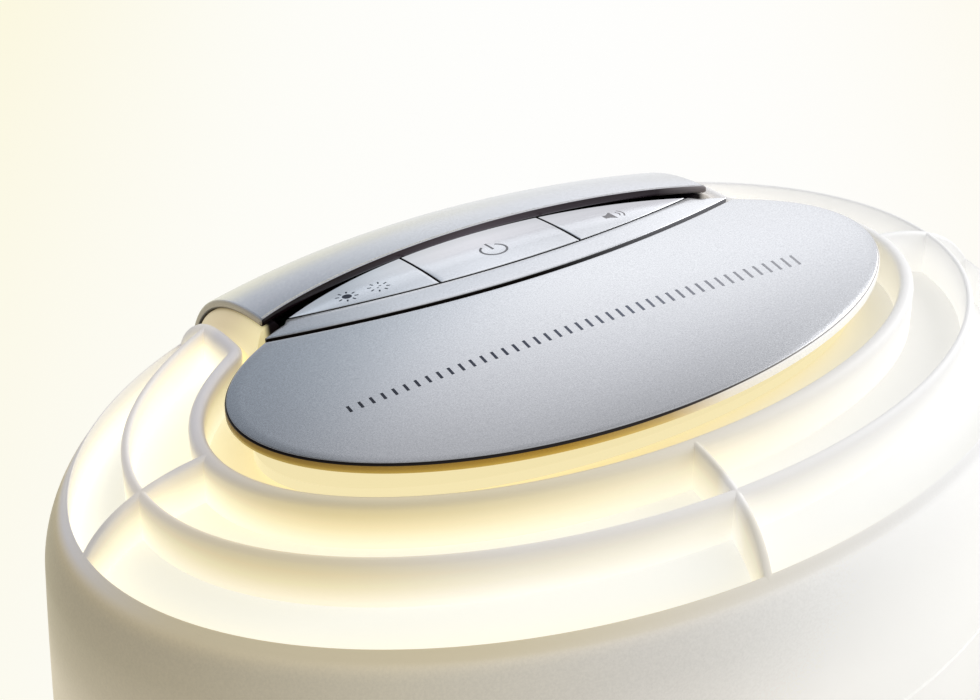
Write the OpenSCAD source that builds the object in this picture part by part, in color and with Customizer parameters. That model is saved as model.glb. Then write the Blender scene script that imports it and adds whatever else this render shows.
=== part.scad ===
// Sunrise alarm clock: an oval translucent drum with a lamp inside, a vent grille of oval rings in
// its top, a snooze plate, three top buttons under a hood, and a display with four set buttons.
// The origin is on the table under the middle of the clock's outline. The front faces -Y.

/* [Drum] */
// Height of the snooze plate's crown above the table
body_h = 230; // [215:1:250]
// Half width of the drum at its shoulder
drum_half_w = 88.5; // [87:0.5:92]
// Half depth of the drum at its shoulder
drum_half_d = 57.5; // [57:0.5:60]
// How far the drum's side swells below the shoulder
side_swell = 4; // [2:0.5:5]
// Share of the shoulder's height at which the side is widest
swell_share = 0.567; // [0.5:0.005:0.6]
// Wall of the translucent shade
shade_wall = 2.6; // [2.2:0.1:2.8]
// Depth of the seam between grille cap and drum, below the crown
seam_depth = 54; // [40:1:60]

/* [Top skin] */
// How far the grille's crown lies below the plate's crown
skin_sink = 4.9; // [4.7:0.1:5.4]
// Drop of the skin from its crown to the shoulder
skin_drop = 22.4; // [20:0.2:24]
// Squareness of the skin's curve
skin_power = 7.35; // [6.5:0.05:8]

/* [Grille] */
// Gap between plate and inner ring at the sides
well_gap_w = 3.2; // [2.6:0.1:4]
// Gap between plate and inner ring at the front
well_gap_d = 5.4; // [4.5:0.1:6]
// Thickness of the inner ring
ring_t = 2.6; // [2:0.1:3]
// Gap between the inner and the middle ring
pocket_gap = 9.2; // [8.5:0.1:9.5]
// Thickness of the middle ring
mid_ring_t = 1.4; // [1.2:0.1:2]
// Thickness of a spoke
spoke_t = 1.5; // [1.2:0.1:2]
// Width of the rim's top at the sides
rim_w = 3.1; // [2.6:0.1:3.4]
// Width of the rim's top at the front
rim_d = 1.9; // [1.6:0.1:2.2]
// Depth of rings and spokes
ring_h = 7.4; // [6:0.1:7.6]
// Distance of the grille's end walls from the middle
end_x = 47.5; // [47:0.1:49]
// Thickness of the grille's end walls
end_wall_t = 2.2; // [1.4:0.1:2.2]

/* [Snooze plate] */
// Half width of the plate
plate_half_w = 60; // [59:0.2:61]
// Half depth of the plate
plate_half_d = 28.8; // [28.4:0.1:29.2]
// Thickness of the plate
plate_t = 2; // [1.8:0.1:2.2]
// Travel of the plate
plate_travel = 1.2; // [0.8:0.1:1.2]
// Radius of the plate's concave rear edge
plate_rear_r = 138; // [130:1:150]
// Distance of that edge behind the plate's middle
plate_rear_y = 11.6; // [11.2:0.1:12]
// Crown radius across the depth
crown_r = 126.6; // [120:1:140]
// Crown radius across the width
crown_r_wide = 770; // [700:10:900]
// Distance of the crown behind the plate's middle
crown_y = 2.9; // [2:0.1:4]
// Distance of the plate's guide posts from the middle
post_x = 40; // [36:1:42]
// Radius of a guide post
post_r = 2.4; // [2.2:0.1:2.6]

/* [Buttons] */
// Width of the silver strip between plate and buttons, with its front gap
strip_w = 5.9; // [5.6:0.1:6.4]
// Gap between plate and strip
strip_gap = 0.8; // [0.6:0.1:1]
// Half width of the lens-shaped button field
lens_half_w = 39.2; // [38.6:0.1:39.8]
// Depth of the button field at the middle
lens_d = 15.9; // [15.4:0.1:16.2]
// Distance of the cuts between the buttons from the middle
cut_x = 13.7; // [12:0.1:15]
// Gap round each button
button_gap = 0.3; // [0.2:0.05:0.4]
// Thickness of a button's face and of the strip
face_t = 2.5; // [2:0.1:2.6]
// Travel of the power and sound buttons
button_travel = 0.8; // [0.5:0.1:0.8]
// Tilt of the light button each way, in degrees
rocker_tilt = 1.8; // [1:0.1:2]
// Distance of the light button's pin from the middle
rocker_x = 26; // [25:0.5:27]

/* [Hood and spine] */
// Half width of the hood and of the rear cover
spine_half_w = 44; // [43.4:0.1:44.4]
// Thickness of hood and rear cover
spine_t = 1.5; // [1.2:0.1:1.6]
// Half width of the hood's oval at its shoulder
hood_half_w = 101.5; // [100:0.5:104]
// Half depth of the hood's oval at its shoulder
hood_half_d = 61; // [60.6:0.1:62]
// Height of the hood's crown over the plate's crown
hood_rise = 1; // [0.8:0.1:1.4]
// Drop of the hood from its crown to its shoulder
hood_drop = 28.5; // [27:0.5:30]
// Squareness of the hood's curve
hood_power = 3.18; // [3.1:0.02:3.3]
// Distance of the hood's lip behind the middle
lip_y = 30.8; // [30.4:0.1:31.4]
// Radius of the lip
lip_r = 154.7; // [145:1:165]

/* [Inner diffuser] */
// Distance of the diffuser inside the skin
diffuser_gap = 8; // [7.8:0.1:8.3]
// Wall of the diffuser
diffuser_wall = 1.8; // [1.4:0.1:2]
// Half width of its top opening
vent_half_w = 46; // [45:1:48]
// Half depth of its top opening
vent_half_d = 19; // [18:0.5:21]
// Inner side of the glowing saddles beside the hood
saddle_x = 40.6; // [40.4:0.1:41]
// Start of the saddles behind the middle
saddle_y = 20; // [19:0.5:22]

/* [Deck] */
// Depth of the deck floor below the crown
deck_depth = 10.3; // [10.2:0.1:10.6]
// Thickness of the deck floor
deck_t = 2; // [1.6:0.1:2]
// Half width of the tray under the plate
tray_half_w = 56; // [54:0.5:57]
// Half depth of the tray under the plate
tray_half_d = 25; // [24:0.5:26]
// Thickness of the circuit boards
board_t = 1.6; // [1.2:0.1:1.6]
// Depth of the heat shield below the crown
shield_depth = 17; // [16:0.5:20]
// Thickness of the heat shield and reflector
sheet_t = 0.8; // [0.5:0.1:1]

/* [Base and chassis] */
// Height of the rubber feet
foot_h = 3; // [2.6:0.1:3.4]
// Radius of a rubber foot
foot_r = 7; // [6:0.5:8]
// Thickness of the base floor
base_t = 2.4; // [2.2:0.1:2.8]
// Height of the drum's lower edge
shade_z = 8; // [7.6:0.1:8.2]
// How far the plinth lies inside the drum's side
plinth_inset = 1.2; // [0.8:0.1:2]
// Height of the shelf that carries diffuser and lamp
shelf_z = 62; // [60:1:64]
// Thickness of the shelf and of the chassis wall
shelf_t = 3; // [2.4:0.1:3]
// Distance of the chassis wall behind the middle
wall_y = 31; // [30.8:0.1:31.4]
// Half width of the chassis wall
wall_half_w = 40; // [38.5:0.5:40]
// Radius of the chassis posts
leg_r = 4.5; // [4:0.1:5]
// Radius of a screw's shank
screw_r = 1.5; // [1.2:0.1:1.6]
// Radius of a screw's head
head_r = 3; // [2.8:0.1:3.2]

/* [Lamp] */
// Radius of the lamp's glass
glass_r = 27; // [22:1:28]
// Radius of the lamp's screw cap
cap_r = 13.1; // [12.8:0.1:13.4]
// Radius of the reflector
reflector_r = 34; // [33:0.2:34.2]
// Distance of the lamp in front of the middle
lamp_y = 4; // [3.8:0.1:5]

/* [Display and set buttons] */
// Half width of the display window
window_half_w = 31.5; // [29:0.5:32]
// Height of the window's lower edge
window_z = 27; // [26.5:0.5:28]
// Height of the window
window_h = 26; // [24:0.5:27]
// Width of the frame round the window
frame_w = 2; // [1.4:0.1:2.4]
// Height of the set buttons' axis
set_z = 17.4; // [17:0.1:18]
// Distance between set buttons
set_pitch = 18; // [16:0.5:20]
// Width of a set button
set_w = 12; // [10:0.5:13]
// Height of a set button
set_h = 6; // [5:0.5:6]
// Travel of a set button
set_travel = 0.7; // [0.5:0.1:0.7]

/* [Hidden] */
$fn = 96;
shell_sides = 64;
fine_sides = 240;
sliver = 0.01;
seat_gap = 0.3;
touch_gap = 0.05;
running_gap = 0.08;
hole_gap = 0.2;
over = 1;

// Heights
skin_top = body_h - skin_sink;
shoulder_z = skin_top - skin_drop;
swell_z = shoulder_z * swell_share;
seam_z = body_h - seam_depth;
hood_top = body_h + hood_rise;
hood_shoulder_z = hood_top - hood_drop;
deck_z = body_h - deck_depth;
deck_under_z = deck_z - deck_t;
shelf_top_z = shelf_z + shelf_t;
floor_z = foot_h + base_t;
shield_z = body_h - shield_depth;
wall_drop = 26;
wall_top_z = body_h - wall_drop;

// The drum's side swells along a parabola, and its top is a squared-off dome.
dome_steps = [0.002, 0.02, 0.08, 0.2, 0.38, 0.6, 0.8, 0.93, 1];
hood_steps = [0.01, 0.04, 0.09, 0.16, 0.27, 0.42, 0.6, 0.8, 1];
side_pitch = 28;
function swell(z) = side_swell * (1 - pow((z - swell_z) / (shoulder_z - swell_z), 2));
function side_level(z, grow, half_w, half_d) = [half_w + swell(z) + grow, half_d + swell(z) + grow, z];
function dome_level(step, grow, half_w, half_d, top, drop, power) =
    let (share = pow(1 - pow(1 - step, 2), 1 / power), lean = sqrt(1 - pow(1 - step, 2)))
    [half_w * share + grow * lean, half_d * share + grow * lean, top - drop * step + grow * (1 - step)];
function side_count(z0, z1) = max(1, round((z1 - z0) / side_pitch));
function side_levels(z0, z1, grow, half_w, half_d) =
    let (steps = side_count(z0, z1))
    [for (i = [0 : steps - 1]) side_level(z0 + (z1 - z0) * i / steps, grow, half_w, half_d)];
function skin_levels(z0, grow) = concat(
    side_levels(z0, shoulder_z, grow, drum_half_w, drum_half_d),
    [for (i = [len(dome_steps) - 1 : -1 : 0])
        dome_level(dome_steps[i], grow, drum_half_w, drum_half_d, skin_top, skin_drop, skin_power)]);
function hood_levels(z0, grow) = concat(
    side_levels(z0, hood_shoulder_z, grow, hood_half_w, hood_half_d),
    [for (i = [len(hood_steps) - 1 : -1 : 0])
        dome_level(hood_steps[i], grow, hood_half_w, hood_half_d, hood_top, hood_drop, hood_power)]);
function oval_y(x, half_w, half_d) = half_d * sqrt(1 - pow(x / half_w, 2));
function shade_y(x, z, grow) = oval_y(x, drum_half_w + swell(z) + grow, drum_half_d + swell(z) + grow);
function spine_y(x, z, grow) = oval_y(x, hood_half_w + swell(z) + grow, hood_half_d + swell(z) + grow);

module oval_slice(level)
    translate([0, 0, level[2]])
        scale([level[0], level[1], 1])
            cylinder(r = 1, h = sliver, $fn = shell_sides);

module oval_stack(levels)
    for (i = [0 : len(levels) - 2])
        hull() {
            oval_slice(levels[i]);
            oval_slice(levels[i + 1]);
        }

module oval_block(half_w, half_d, z0, z1, sides = $fn)
    translate([0, 0, z0])
        scale([half_w, half_d, 1])
            cylinder(r = 1, h = z1 - z0, $fn = sides);

module disc_block(x, y, r, z0, z1)
    translate([x, y, z0])
        cylinder(r = r, h = z1 - z0);

module box_between(low, high)
    translate(low)
        cube(high - low);

// A rod along +Y from y0 to y1
module rod_y(x, z, r, y0, y1)
    translate([x, y0, z])
        rotate([-90, 0, 0])
            cylinder(r = r, h = y1 - y0);

module skin_body(z0, grow) oval_stack(skin_levels(z0, grow));
module hood_body(z0, grow) oval_stack(hood_levels(z0, grow));

// The part behind the middle and within a half width
module rear_band(half_w, y0)
    box_between([-half_w, y0, -1], [half_w, 2 * drum_half_w, 2 * body_h]);

// Shade and grille

module side_shell(z0, z1, outer, inner) {
    steps = side_count(z0, z1);
    difference() {
        oval_stack([for (i = [0 : steps])
            side_level(z0 + (z1 - z0) * i / steps, outer, drum_half_w, drum_half_d)]);
        oval_stack([for (i = [-1 : steps + 1])
            side_level(z0 + (z1 - z0) * i / steps, inner, drum_half_w, drum_half_d)]);
    }
}

module drum_shade() color("whitesmoke") difference() {
    side_shell(shade_z, seam_z - touch_gap, 0, -shade_wall);
    rear_band(end_x, 0);
    window_block(frame_w + seat_gap);
    for (i = [0 : 3]) set_pill(set_x(i), button_gap, -2 * drum_half_d, 0);
}

ring_w = plate_half_w + well_gap_w;
ring_d = plate_half_d + well_gap_d;
mid_w = ring_w + ring_t + pocket_gap;
mid_d = ring_d + ring_t + pocket_gap;
rim_in_w = drum_half_w - rim_w;
rim_in_d = drum_half_d - rim_d;
pocket_depth = 10;
pocket_z = shoulder_z - pocket_depth;
cap_edge = 1;

module oval_shell_cut(half_w, half_d) oval_block(half_w, half_d, pocket_z, body_h + over, shell_sides);

// The open pockets between two ovals, interrupted by spokes and end walls
module pocket(out_w, out_d, in_w, in_d) difference() {
    oval_shell_cut(out_w, out_d);
    oval_shell_cut(in_w, in_d);
    box_between([-drum_half_w, -spoke_t / 2, 0], [drum_half_w, spoke_t / 2, 2 * body_h]);
    box_between([-spoke_t / 2, -drum_half_d, 0], [spoke_t / 2, 0, 2 * body_h]);
    rear_band(end_x + end_wall_t, drum_half_d / 5);
}

module top_grille() color("white") difference() {
    skin_body(seam_z, 0);
    skin_body(seam_z - over, -ring_h);
    difference() {
        skin_body(seam_z - over, -shade_wall);
        oval_block(rim_in_w + cap_edge, rim_in_d + cap_edge, seam_z - 2 * over, body_h + over, shell_sides);
    }
    oval_shell_cut(ring_w, ring_d);
    pocket(mid_w, mid_d, ring_w + ring_t, ring_d + ring_t);
    pocket(rim_in_w, rim_in_d, mid_w + mid_ring_t, mid_d + mid_ring_t);
    rear_band(end_x, 0);
}

saddle_sink = 0.8;
saddle_wall = 2.6;
diffuser_rear_y = 24;

// Two saddles on the diffuser close the gap between hood and grille and run down to the base.
module saddle(side) {
    edge = spine_half_w + seat_gap;
    intersection() {
        skin_body(upstand_z + seat_gap, -saddle_sink);
        translate([side * (edge + end_x - seat_gap) / 2, 0, 0])
            rear_band((end_x - seat_gap - edge) / 2, saddle_y);
    }
    intersection() {
        hood_body(upstand_z + seat_gap, -spine_t - seat_gap);
        translate([side * (saddle_x + edge) / 2, 0, 0])
            rear_band((edge - saddle_x) / 2 + sliver, lip_y);
    }
}

module inner_diffuser() color([0.98, 0.93, 0.76]) difference() {
    union() {
        skin_body(shelf_top_z, -diffuser_gap);
        saddle(-1);
        saddle(1);
    }
    skin_body(upstand_z - over, -diffuser_gap - diffuser_wall);
    oval_block(vent_half_w, vent_half_d, shoulder_z, body_h);
    rear_band(saddle_x - saddle_wall, diffuser_rear_y);
}

// Hood and rear cover in one

// Screw pads inside the rear cover
pad_sides = 32;
pad_r = 5;
pad_t = 1.6;
function pad_y(z) = min(spine_y(spine_screw_x + pad_r, z - pad_r, -spine_t),
    spine_y(spine_screw_x + pad_r, z + pad_r, -spine_t)) - pad_t;

module lip_cut(grow)
    translate([0, lip_y - lip_r, pocket_z])
        cylinder(r = lip_r + grow, h = hood_top - pocket_z + over, $fn = fine_sides);

module rear_spine() color("silver") difference() {
    $fn = pad_sides;
    intersection() {
        hood_body(shade_z, 0);
        difference() {
            rear_band(spine_half_w, 0);
            difference() {
                hood_body(shade_z - over, -spine_t);
                for (side = [-1, 1], z = spine_screw_z)
                    rod_y(side * spine_screw_x, z, pad_r, pad_y(z), 2 * hood_half_d);
            }
        }
    }
    lip_cut(0);
    for (side = [-1, 1], z = spine_screw_z) {
        rod_y(side * spine_screw_x, z, screw_r + hole_gap, 0, 2 * hood_half_d);
        rod_y(side * spine_screw_x, z, head_r + hole_gap, pad_y(z) + pad_t, 2 * hood_half_d);
    }
    rod_y(jack_x, jack_z, jack_r + hole_gap, 0, 2 * hood_half_d);
}

// Plate, strip and buttons share one crowned surface.

module crown(sink)
    translate([0, crown_y, body_h - crown_r - sink])
        scale([sqrt(crown_r_wide / crown_r), 1, 1])
            sphere(r = crown_r, $fn = fine_sides);

arc_y = plate_rear_y + plate_rear_r;
front_r = plate_rear_r - strip_w;
lens_front_y = plate_rear_y + strip_w;
lens_corner_y = arc_y - sqrt(pow(front_r, 2) - pow(lens_half_w, 2));
back_rise = lens_front_y + lens_d - lens_corner_y;
back_r = (pow(lens_half_w, 2) + pow(back_rise, 2)) / (2 * back_rise);
back_y = lens_front_y + lens_d - back_r;
top_z0 = deck_z - over;
top_z1 = body_h + 2 * over;

module plate_outline() difference() {
    oval_block(plate_half_w, plate_half_d, top_z0, top_z1);
    disc_block(0, arc_y, plate_rear_r, top_z0 - over, top_z1 + over);
}

module lens(grow) intersection() {
    disc_block(0, arc_y, front_r + grow, top_z0, top_z1);
    disc_block(0, back_y, back_r + grow, top_z0, top_z1);
}

module crowned(t) intersection() {
    children();
    difference() {
        crown(0);
        translate([0, 0, -t]) crown(0);
    }
}

switch_h = 1.85;
switch_top_z = deck_z + board_t + switch_h;
snooze_switch_x = 12;
snooze_switch_y = 3;
post_y = -2;

module snooze_plate() color([0.72, 0.74, 0.78]) {
    crowned(plate_t) plate_outline();
    intersection() {
        union() {
            for (side = [-1, 1]) {
                disc_block(side * post_x, post_y, post_r, deck_under_z, body_h);
                disc_block(side * snooze_switch_x, snooze_switch_y, post_r,
                    switch_top_z + plate_travel + touch_gap, body_h);
            }
        }
        crown(plate_t / 2);
    }
}

flange_w = 1.6;
flange_t = 1.6;

module plate_screws() color("silver") for (side = [-1, 1]) {
    disc_block(side * post_x, post_y, post_r + flange_w, deck_under_z - flange_t, deck_under_z);
}

spring_turns = 4;
spring_wire = 0.4;
spring_play = 1.1;
spring_r = post_r + spring_play;
spring_sides = 8;
spring_steps = 48;
spring_z0 = deck_z + spring_wire;
spring_reach = post_x + spring_r + spring_wire;
spring_z1 = body_h - pow(spring_reach, 2) / (2 * crown_r_wide) - pow(post_y - crown_y, 2) / (2 * crown_r)
    - plate_t - spring_wire - touch_gap;

function coil_point(i, k) =
    let (turn = 360 * spring_turns * i / spring_steps, face = 360 * k / spring_sides)
    [(spring_r + spring_wire * cos(face)) * cos(turn),
        (spring_r + spring_wire * cos(face)) * sin(turn),
        spring_z0 + (spring_z1 - spring_z0) * i / spring_steps + spring_wire * sin(face)];

module coil() polyhedron(
    points = [for (i = [0 : spring_steps], k = [0 : spring_sides - 1]) coil_point(i, k)],
    faces = concat(
        [[for (k = [0 : spring_sides - 1]) k]],
        [for (i = [0 : spring_steps - 1], k = [0 : spring_sides - 1])
            let (a = i * spring_sides, next = (k + 1) % spring_sides)
            [a + k, a + spring_sides + k, a + spring_sides + next, a + next]],
        [[for (k = [spring_sides - 1 : -1 : 0]) spring_steps * spring_sides + k]]));

module snooze_springs() color("gray")
    for (side = [-1, 1]) translate([side * post_x, post_y, 0]) coil();

bezel_end_x = 45.4;
bezel_end_y = 19;
bezel_taper = 0.25;
bezel_span = [-20, 10];

module button_bezel() color("silver") crowned(face_t) difference() {
    intersection() {
        disc_block(0, arc_y, plate_rear_r - strip_gap, top_z0, top_z1);
        disc_block(0, lip_y - lip_r, lip_r - seat_gap, top_z0, top_z1);
        translate([0, 0, top_z0])
            linear_extrude(top_z1 - top_z0)
                polygon([for (p = [[-1, bezel_span[1]], [1, bezel_span[1]], [1, bezel_span[0]],
                    [-1, bezel_span[0]]])
                    [p[0] * (bezel_end_x + bezel_taper * p[1]), bezel_end_y - p[1]]]);
    }
    lens(button_gap);
    // The field behind the lens stays open under the hood.
    box_between([-lens_half_w, lens_corner_y, 0], [lens_half_w, 2 * lip_y, 2 * body_h]);
}

module button_face(x0, x1) crowned(face_t) intersection() {
    lens(0);
    box_between([x0, 0, top_z0], [x1, 2 * lip_y, top_z1]);
}

stem_r = 1.5;
stem_bite = 0.2;

module button_stem(x, y, gap) intersection() {
    disc_block(x, y, stem_r, switch_top_z + gap, body_h);
    crown(face_t - stem_bite);
}

light_switch_x = 8;
button_switch_y = 24.5;
sound_x = 24;
power_y = 25;
pin_rise = 1.7;
pin_z = deck_z + board_t + pin_rise;
pin_r = 0.8;
pin_y0 = 20.6;
pin_y1 = 28;
ear_t = 1.4;
ear_gap = 0.2;
lug_wall = 1.4;
lug_half_w = 2;
lug_y0 = pin_y0 + ear_t + ear_gap;
lug_y1 = pin_y1 - ear_t - ear_gap;
rocker_swing = (light_switch_x + stem_r) * sin(rocker_tilt);

module light_button() color([0.78, 0.79, 0.82]) difference() {
    union() {
        button_face(-lens_half_w - over, -cut_x - button_gap / 2);
        for (side = [-1, 1])
            button_stem(-rocker_x + side * light_switch_x, button_switch_y, rocker_swing + touch_gap);
        intersection() {
            box_between([-rocker_x - lug_half_w, lug_y0, pin_z - lug_wall],
                [-rocker_x + lug_half_w, lug_y1, body_h]);
            crown(face_t - stem_bite);
        }
    }
    rod_y(-rocker_x, pin_z, pin_r + running_gap, 0, 2 * lip_y);
}

module rocker_pin() color("gray") rod_y(-rocker_x, pin_z, pin_r, pin_y0, pin_y1);

module power_button() color([0.8, 0.81, 0.84]) {
    button_face(-cut_x + button_gap / 2, cut_x - button_gap / 2);
    button_stem(0, power_y, button_travel + touch_gap);
}

module sound_button() color([0.8, 0.81, 0.84]) {
    button_face(cut_x + button_gap / 2, lens_half_w + over);
    button_stem(sound_x, button_switch_y, button_travel + touch_gap);
}

// Deck under plate and buttons

deck_inset = 0.6;
deck_half_w = saddle_x - deck_inset;
deck_rear_y = 41.5;
deck_wall_t = 1.5;
deck_wall_half_w = 20;
deck_wall_sink = 6.2;
deck_wall_side_sink = 8.2;
deck_wall_inset = 2;
rib_x = 6;
rib_front_gap = 0.4;
rib_back_gap = 0.6;
rib_out_r = plate_rear_r - strip_gap - rib_front_gap;
rib_in_r = front_r + button_gap + rib_back_gap;
ear_half_w = 2;
ear_rise = 1.2;
ear_spots = [pin_y0, lug_y1 + ear_gap];
deck_screw_x = 32;
deck_screw_y = 36.5;
deck_screw_length = 11;
shield_x = 30;
shield_post_r = 2.5;
shield_bore_r = 1;

module deck_carrier() color([0.12, 0.11, 0.13]) difference() {
    union() {
        oval_block(tray_half_w, tray_half_d, deck_under_z, deck_z);
        box_between([-deck_half_w, 0, deck_under_z], [deck_half_w, deck_rear_y, deck_z]);
        // Arched rib that carries the strip
        intersection() {
            difference() {
                disc_block(0, arc_y, rib_out_r, deck_z - sliver, body_h);
                disc_block(0, arc_y, rib_in_r, deck_z - over, body_h + over);
            }
            for (side = [-1, 1])
                translate([side * (rib_x + deck_half_w) / 2, 0, 0])
                    box_between([(rib_x - deck_half_w) / 2, 0, deck_z - over],
                        [(deck_half_w - rib_x) / 2, lip_y, body_h]);
            crown(face_t + touch_gap);
        }
        // Rear wall under the hood, lower towards the sides
        box_between([-deck_wall_half_w, deck_rear_y - deck_wall_t, deck_z - sliver],
            [deck_wall_half_w, deck_rear_y, body_h - deck_wall_sink]);
        box_between([-deck_half_w + deck_wall_inset, deck_rear_y - deck_wall_t, deck_z - sliver],
            [deck_half_w - deck_wall_inset, deck_rear_y, body_h - deck_wall_side_sink]);
        // Ears of the rocker pin
        for (y = ear_spots)
            box_between([-rocker_x - ear_half_w, y, deck_z - sliver],
                [-rocker_x + ear_half_w, y + ear_t, pin_z + ear_rise]);
        for (side = [-1, 1])
            disc_block(side * shield_x, 0, shield_post_r, shield_z + sheet_t, deck_z);
    }
    rod_y(-rocker_x, pin_z, pin_r, 0, 2 * lip_y);
    for (side = [-1, 1]) {
        disc_block(side * post_x, post_y, post_r + running_gap, deck_under_z - over, deck_z + over);
        disc_block(side * deck_screw_x, deck_screw_y, screw_r + hole_gap, deck_under_z - over, deck_z + over);
        disc_block(side * shield_x, 0, shield_bore_r, shield_z, deck_under_z);
    }
}

board_half_w = 36.8;
board_rear_y = 32.5;
board_front_y = -6;
slot_gap = 0.3;
switch_spots = [[-rocker_x - light_switch_x, button_switch_y], [-rocker_x + light_switch_x,
    button_switch_y], [0, power_y], [sound_x, button_switch_y], [-snooze_switch_x, snooze_switch_y],
    [snooze_switch_x, snooze_switch_y]];

module switch_board() color("darkgreen") difference() {
    box_between([-board_half_w, board_front_y, deck_z + touch_gap],
        [board_half_w, board_rear_y, deck_z + board_t]);
    // Slots for the arched rib, the springs and the pin's ears
    difference() {
        disc_block(0, arc_y, rib_out_r + slot_gap, deck_z - over, body_h);
        disc_block(0, arc_y, rib_in_r - slot_gap, deck_z - 2 * over, body_h + over);
        box_between([-rib_x + slot_gap, 0, 0], [rib_x - slot_gap, 2 * lip_y, 2 * body_h]);
    }
    for (side = [-1, 1])
        disc_block(side * post_x, post_y, spring_r + spring_wire + slot_gap, deck_z - over, body_h);
    for (y = ear_spots)
        box_between([-rocker_x - ear_half_w - slot_gap, y - slot_gap, deck_z - over],
            [-rocker_x + ear_half_w + slot_gap, y + ear_t + slot_gap, body_h]);
}

switch_half = 2.5;
switch_body_h = 1.2;
plunger_r = 1.6;

module tact_switches() color("dimgray") for (spot = switch_spots)
    translate([spot[0], spot[1], deck_z + board_t]) {
        translate([-switch_half, -switch_half, 0])
            cube([2 * switch_half, 2 * switch_half, switch_body_h]);
        cylinder(r = plunger_r, h = switch_h);
    }

head_t = 1.2;

module screw_z(x, y, z, length, up) translate([x, y, z]) mirror([0, 0, up ? 1 : 0]) {
    cylinder(r = head_r, h = head_t);
    translate([0, 0, -length]) cylinder(r = screw_r - touch_gap, h = length + sliver);
}

module deck_screws() color("silver") for (side = [-1, 1])
    screw_z(side * deck_screw_x, deck_screw_y, deck_z, deck_screw_length, false);

shield_inset = 2;
shield_hole_r = 1.2;
shield_head_r = 2.2;
shield_screw_length = 4;

module heat_shield() color("lightgray") difference() {
    oval_block(vent_half_w - shield_inset, vent_half_d - shield_inset, shield_z, shield_z + sheet_t);
    for (side = [-1, 1]) disc_block(side * shield_x, 0, shield_hole_r, 0, body_h);
}

module shield_screws() color("silver") for (side = [-1, 1]) {
    disc_block(side * shield_x, 0, shield_head_r, shield_z - head_t, shield_z);
    disc_block(side * shield_x, 0, shield_bore_r - touch_gap, shield_z - sliver,
        shield_z + shield_screw_length);
}

// Lamp

cap_rise = 11;
socket_z = shelf_top_z + cap_rise;
socket_wall = 3.6;
socket_foot = 3;
socket_h = 33;
socket_floor = 9;
cap_play = 0.3;
cap_h = 26;
contact_r = 4;
contact_h = 2;
glass_rise = 46;
glass_z = socket_z + cap_h + glass_rise;
neck_gap = 1.2;
neck_r = cap_r - neck_gap;
neck_share = 0.86;
glass_wall = 0.8;

module lamp_socket() color("ivory") translate([0, -lamp_y, shelf_top_z]) difference() {
    union() {
        cylinder(r = cap_r + socket_wall + socket_foot, h = socket_foot);
        cylinder(r = cap_r + socket_wall, h = socket_h);
    }
    translate([0, 0, socket_floor]) cylinder(r = cap_r + cap_play, h = socket_h);
}

module lamp_cap() color("gold") translate([0, -lamp_y, socket_z]) {
    cylinder(r = cap_r, h = cap_h);
    translate([0, 0, touch_gap - contact_h]) cylinder(r = contact_r, h = contact_h);
}

module glass_body(inset) {
    translate([0, 0, glass_z]) sphere(r = glass_r - inset);
    translate([0, 0, socket_z + cap_h])
        cylinder(r1 = neck_r - inset, r2 = (glass_r - inset) * neck_share,
            h = glass_z - glass_r / 2 - socket_z - cap_h);
}

module lamp_glass() color([0.95, 0.95, 0.9, 0.5]) translate([0, -lamp_y, 0]) difference() {
    glass_body(0);
    glass_body(glass_wall);
}

lead_rise = 7;
lead_z = shelf_top_z + lead_rise;
lead_x = 5;
lead_r = 1;

module lamp_leads() color("white") for (side = [-1, 1])
    rod_y(side * lead_x, lead_z, lead_r, sqrt(pow(cap_r + socket_wall, 2) - pow(lead_x - lead_r, 2))
        - lamp_y + touch_gap, power_board_y);

reflector_h = 122;
reflector_y = 2;
lead_window = 4;

module reflector() color("gainsboro") difference() {
    intersection() {
        translate([0, -lamp_y, shelf_top_z]) cylinder(r = reflector_r + sheet_t, h = reflector_h);
        box_between([-2 * reflector_r, reflector_y, 0], [2 * reflector_r, 2 * reflector_r, body_h]);
    }
    translate([0, -lamp_y, 0]) cylinder(r = reflector_r, h = body_h);
    box_between([-lead_x - lead_window, 0, 0],
        [lead_x + lead_window, 2 * reflector_r, lead_z + lead_window]);
}

// Chassis

saddle_front_y = shade_y(end_x, shelf_z, -diffuser_gap - diffuser_wall) - seat_gap;
shelf_play = 0.4;
shelf_notch = 2;
wall_z = 12;
leg_x = 62;
leg_y = 12;
leg_bore = 14;
boss_r = 3.5;
boss_h = 12;
boss_bite = 1;
spine_screw_x = 30;
spine_screw_low = 45;
spine_screw_z = [spine_screw_low, body_h - spine_screw_low];
spine_screw_length = 14;
spine_boss_r = 4;
spine_head_t = 1.4;
spacer_h = 3;
power_board_y = wall_y + shelf_t + spacer_h;
power_z = 26;
power_h = 94;
spacer_x = 20;
spacer_r = 2.5;
spacer_inset = 7;
spacer_z = [power_z + spacer_inset, power_z + power_h - spacer_inset];
lead_hole_r = 1.8;
shelf_half_w = drum_half_w + swell(shelf_z) - shade_wall - shelf_play;
shelf_half_d = drum_half_d + swell(shelf_z) - shade_wall - shelf_play;

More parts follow.
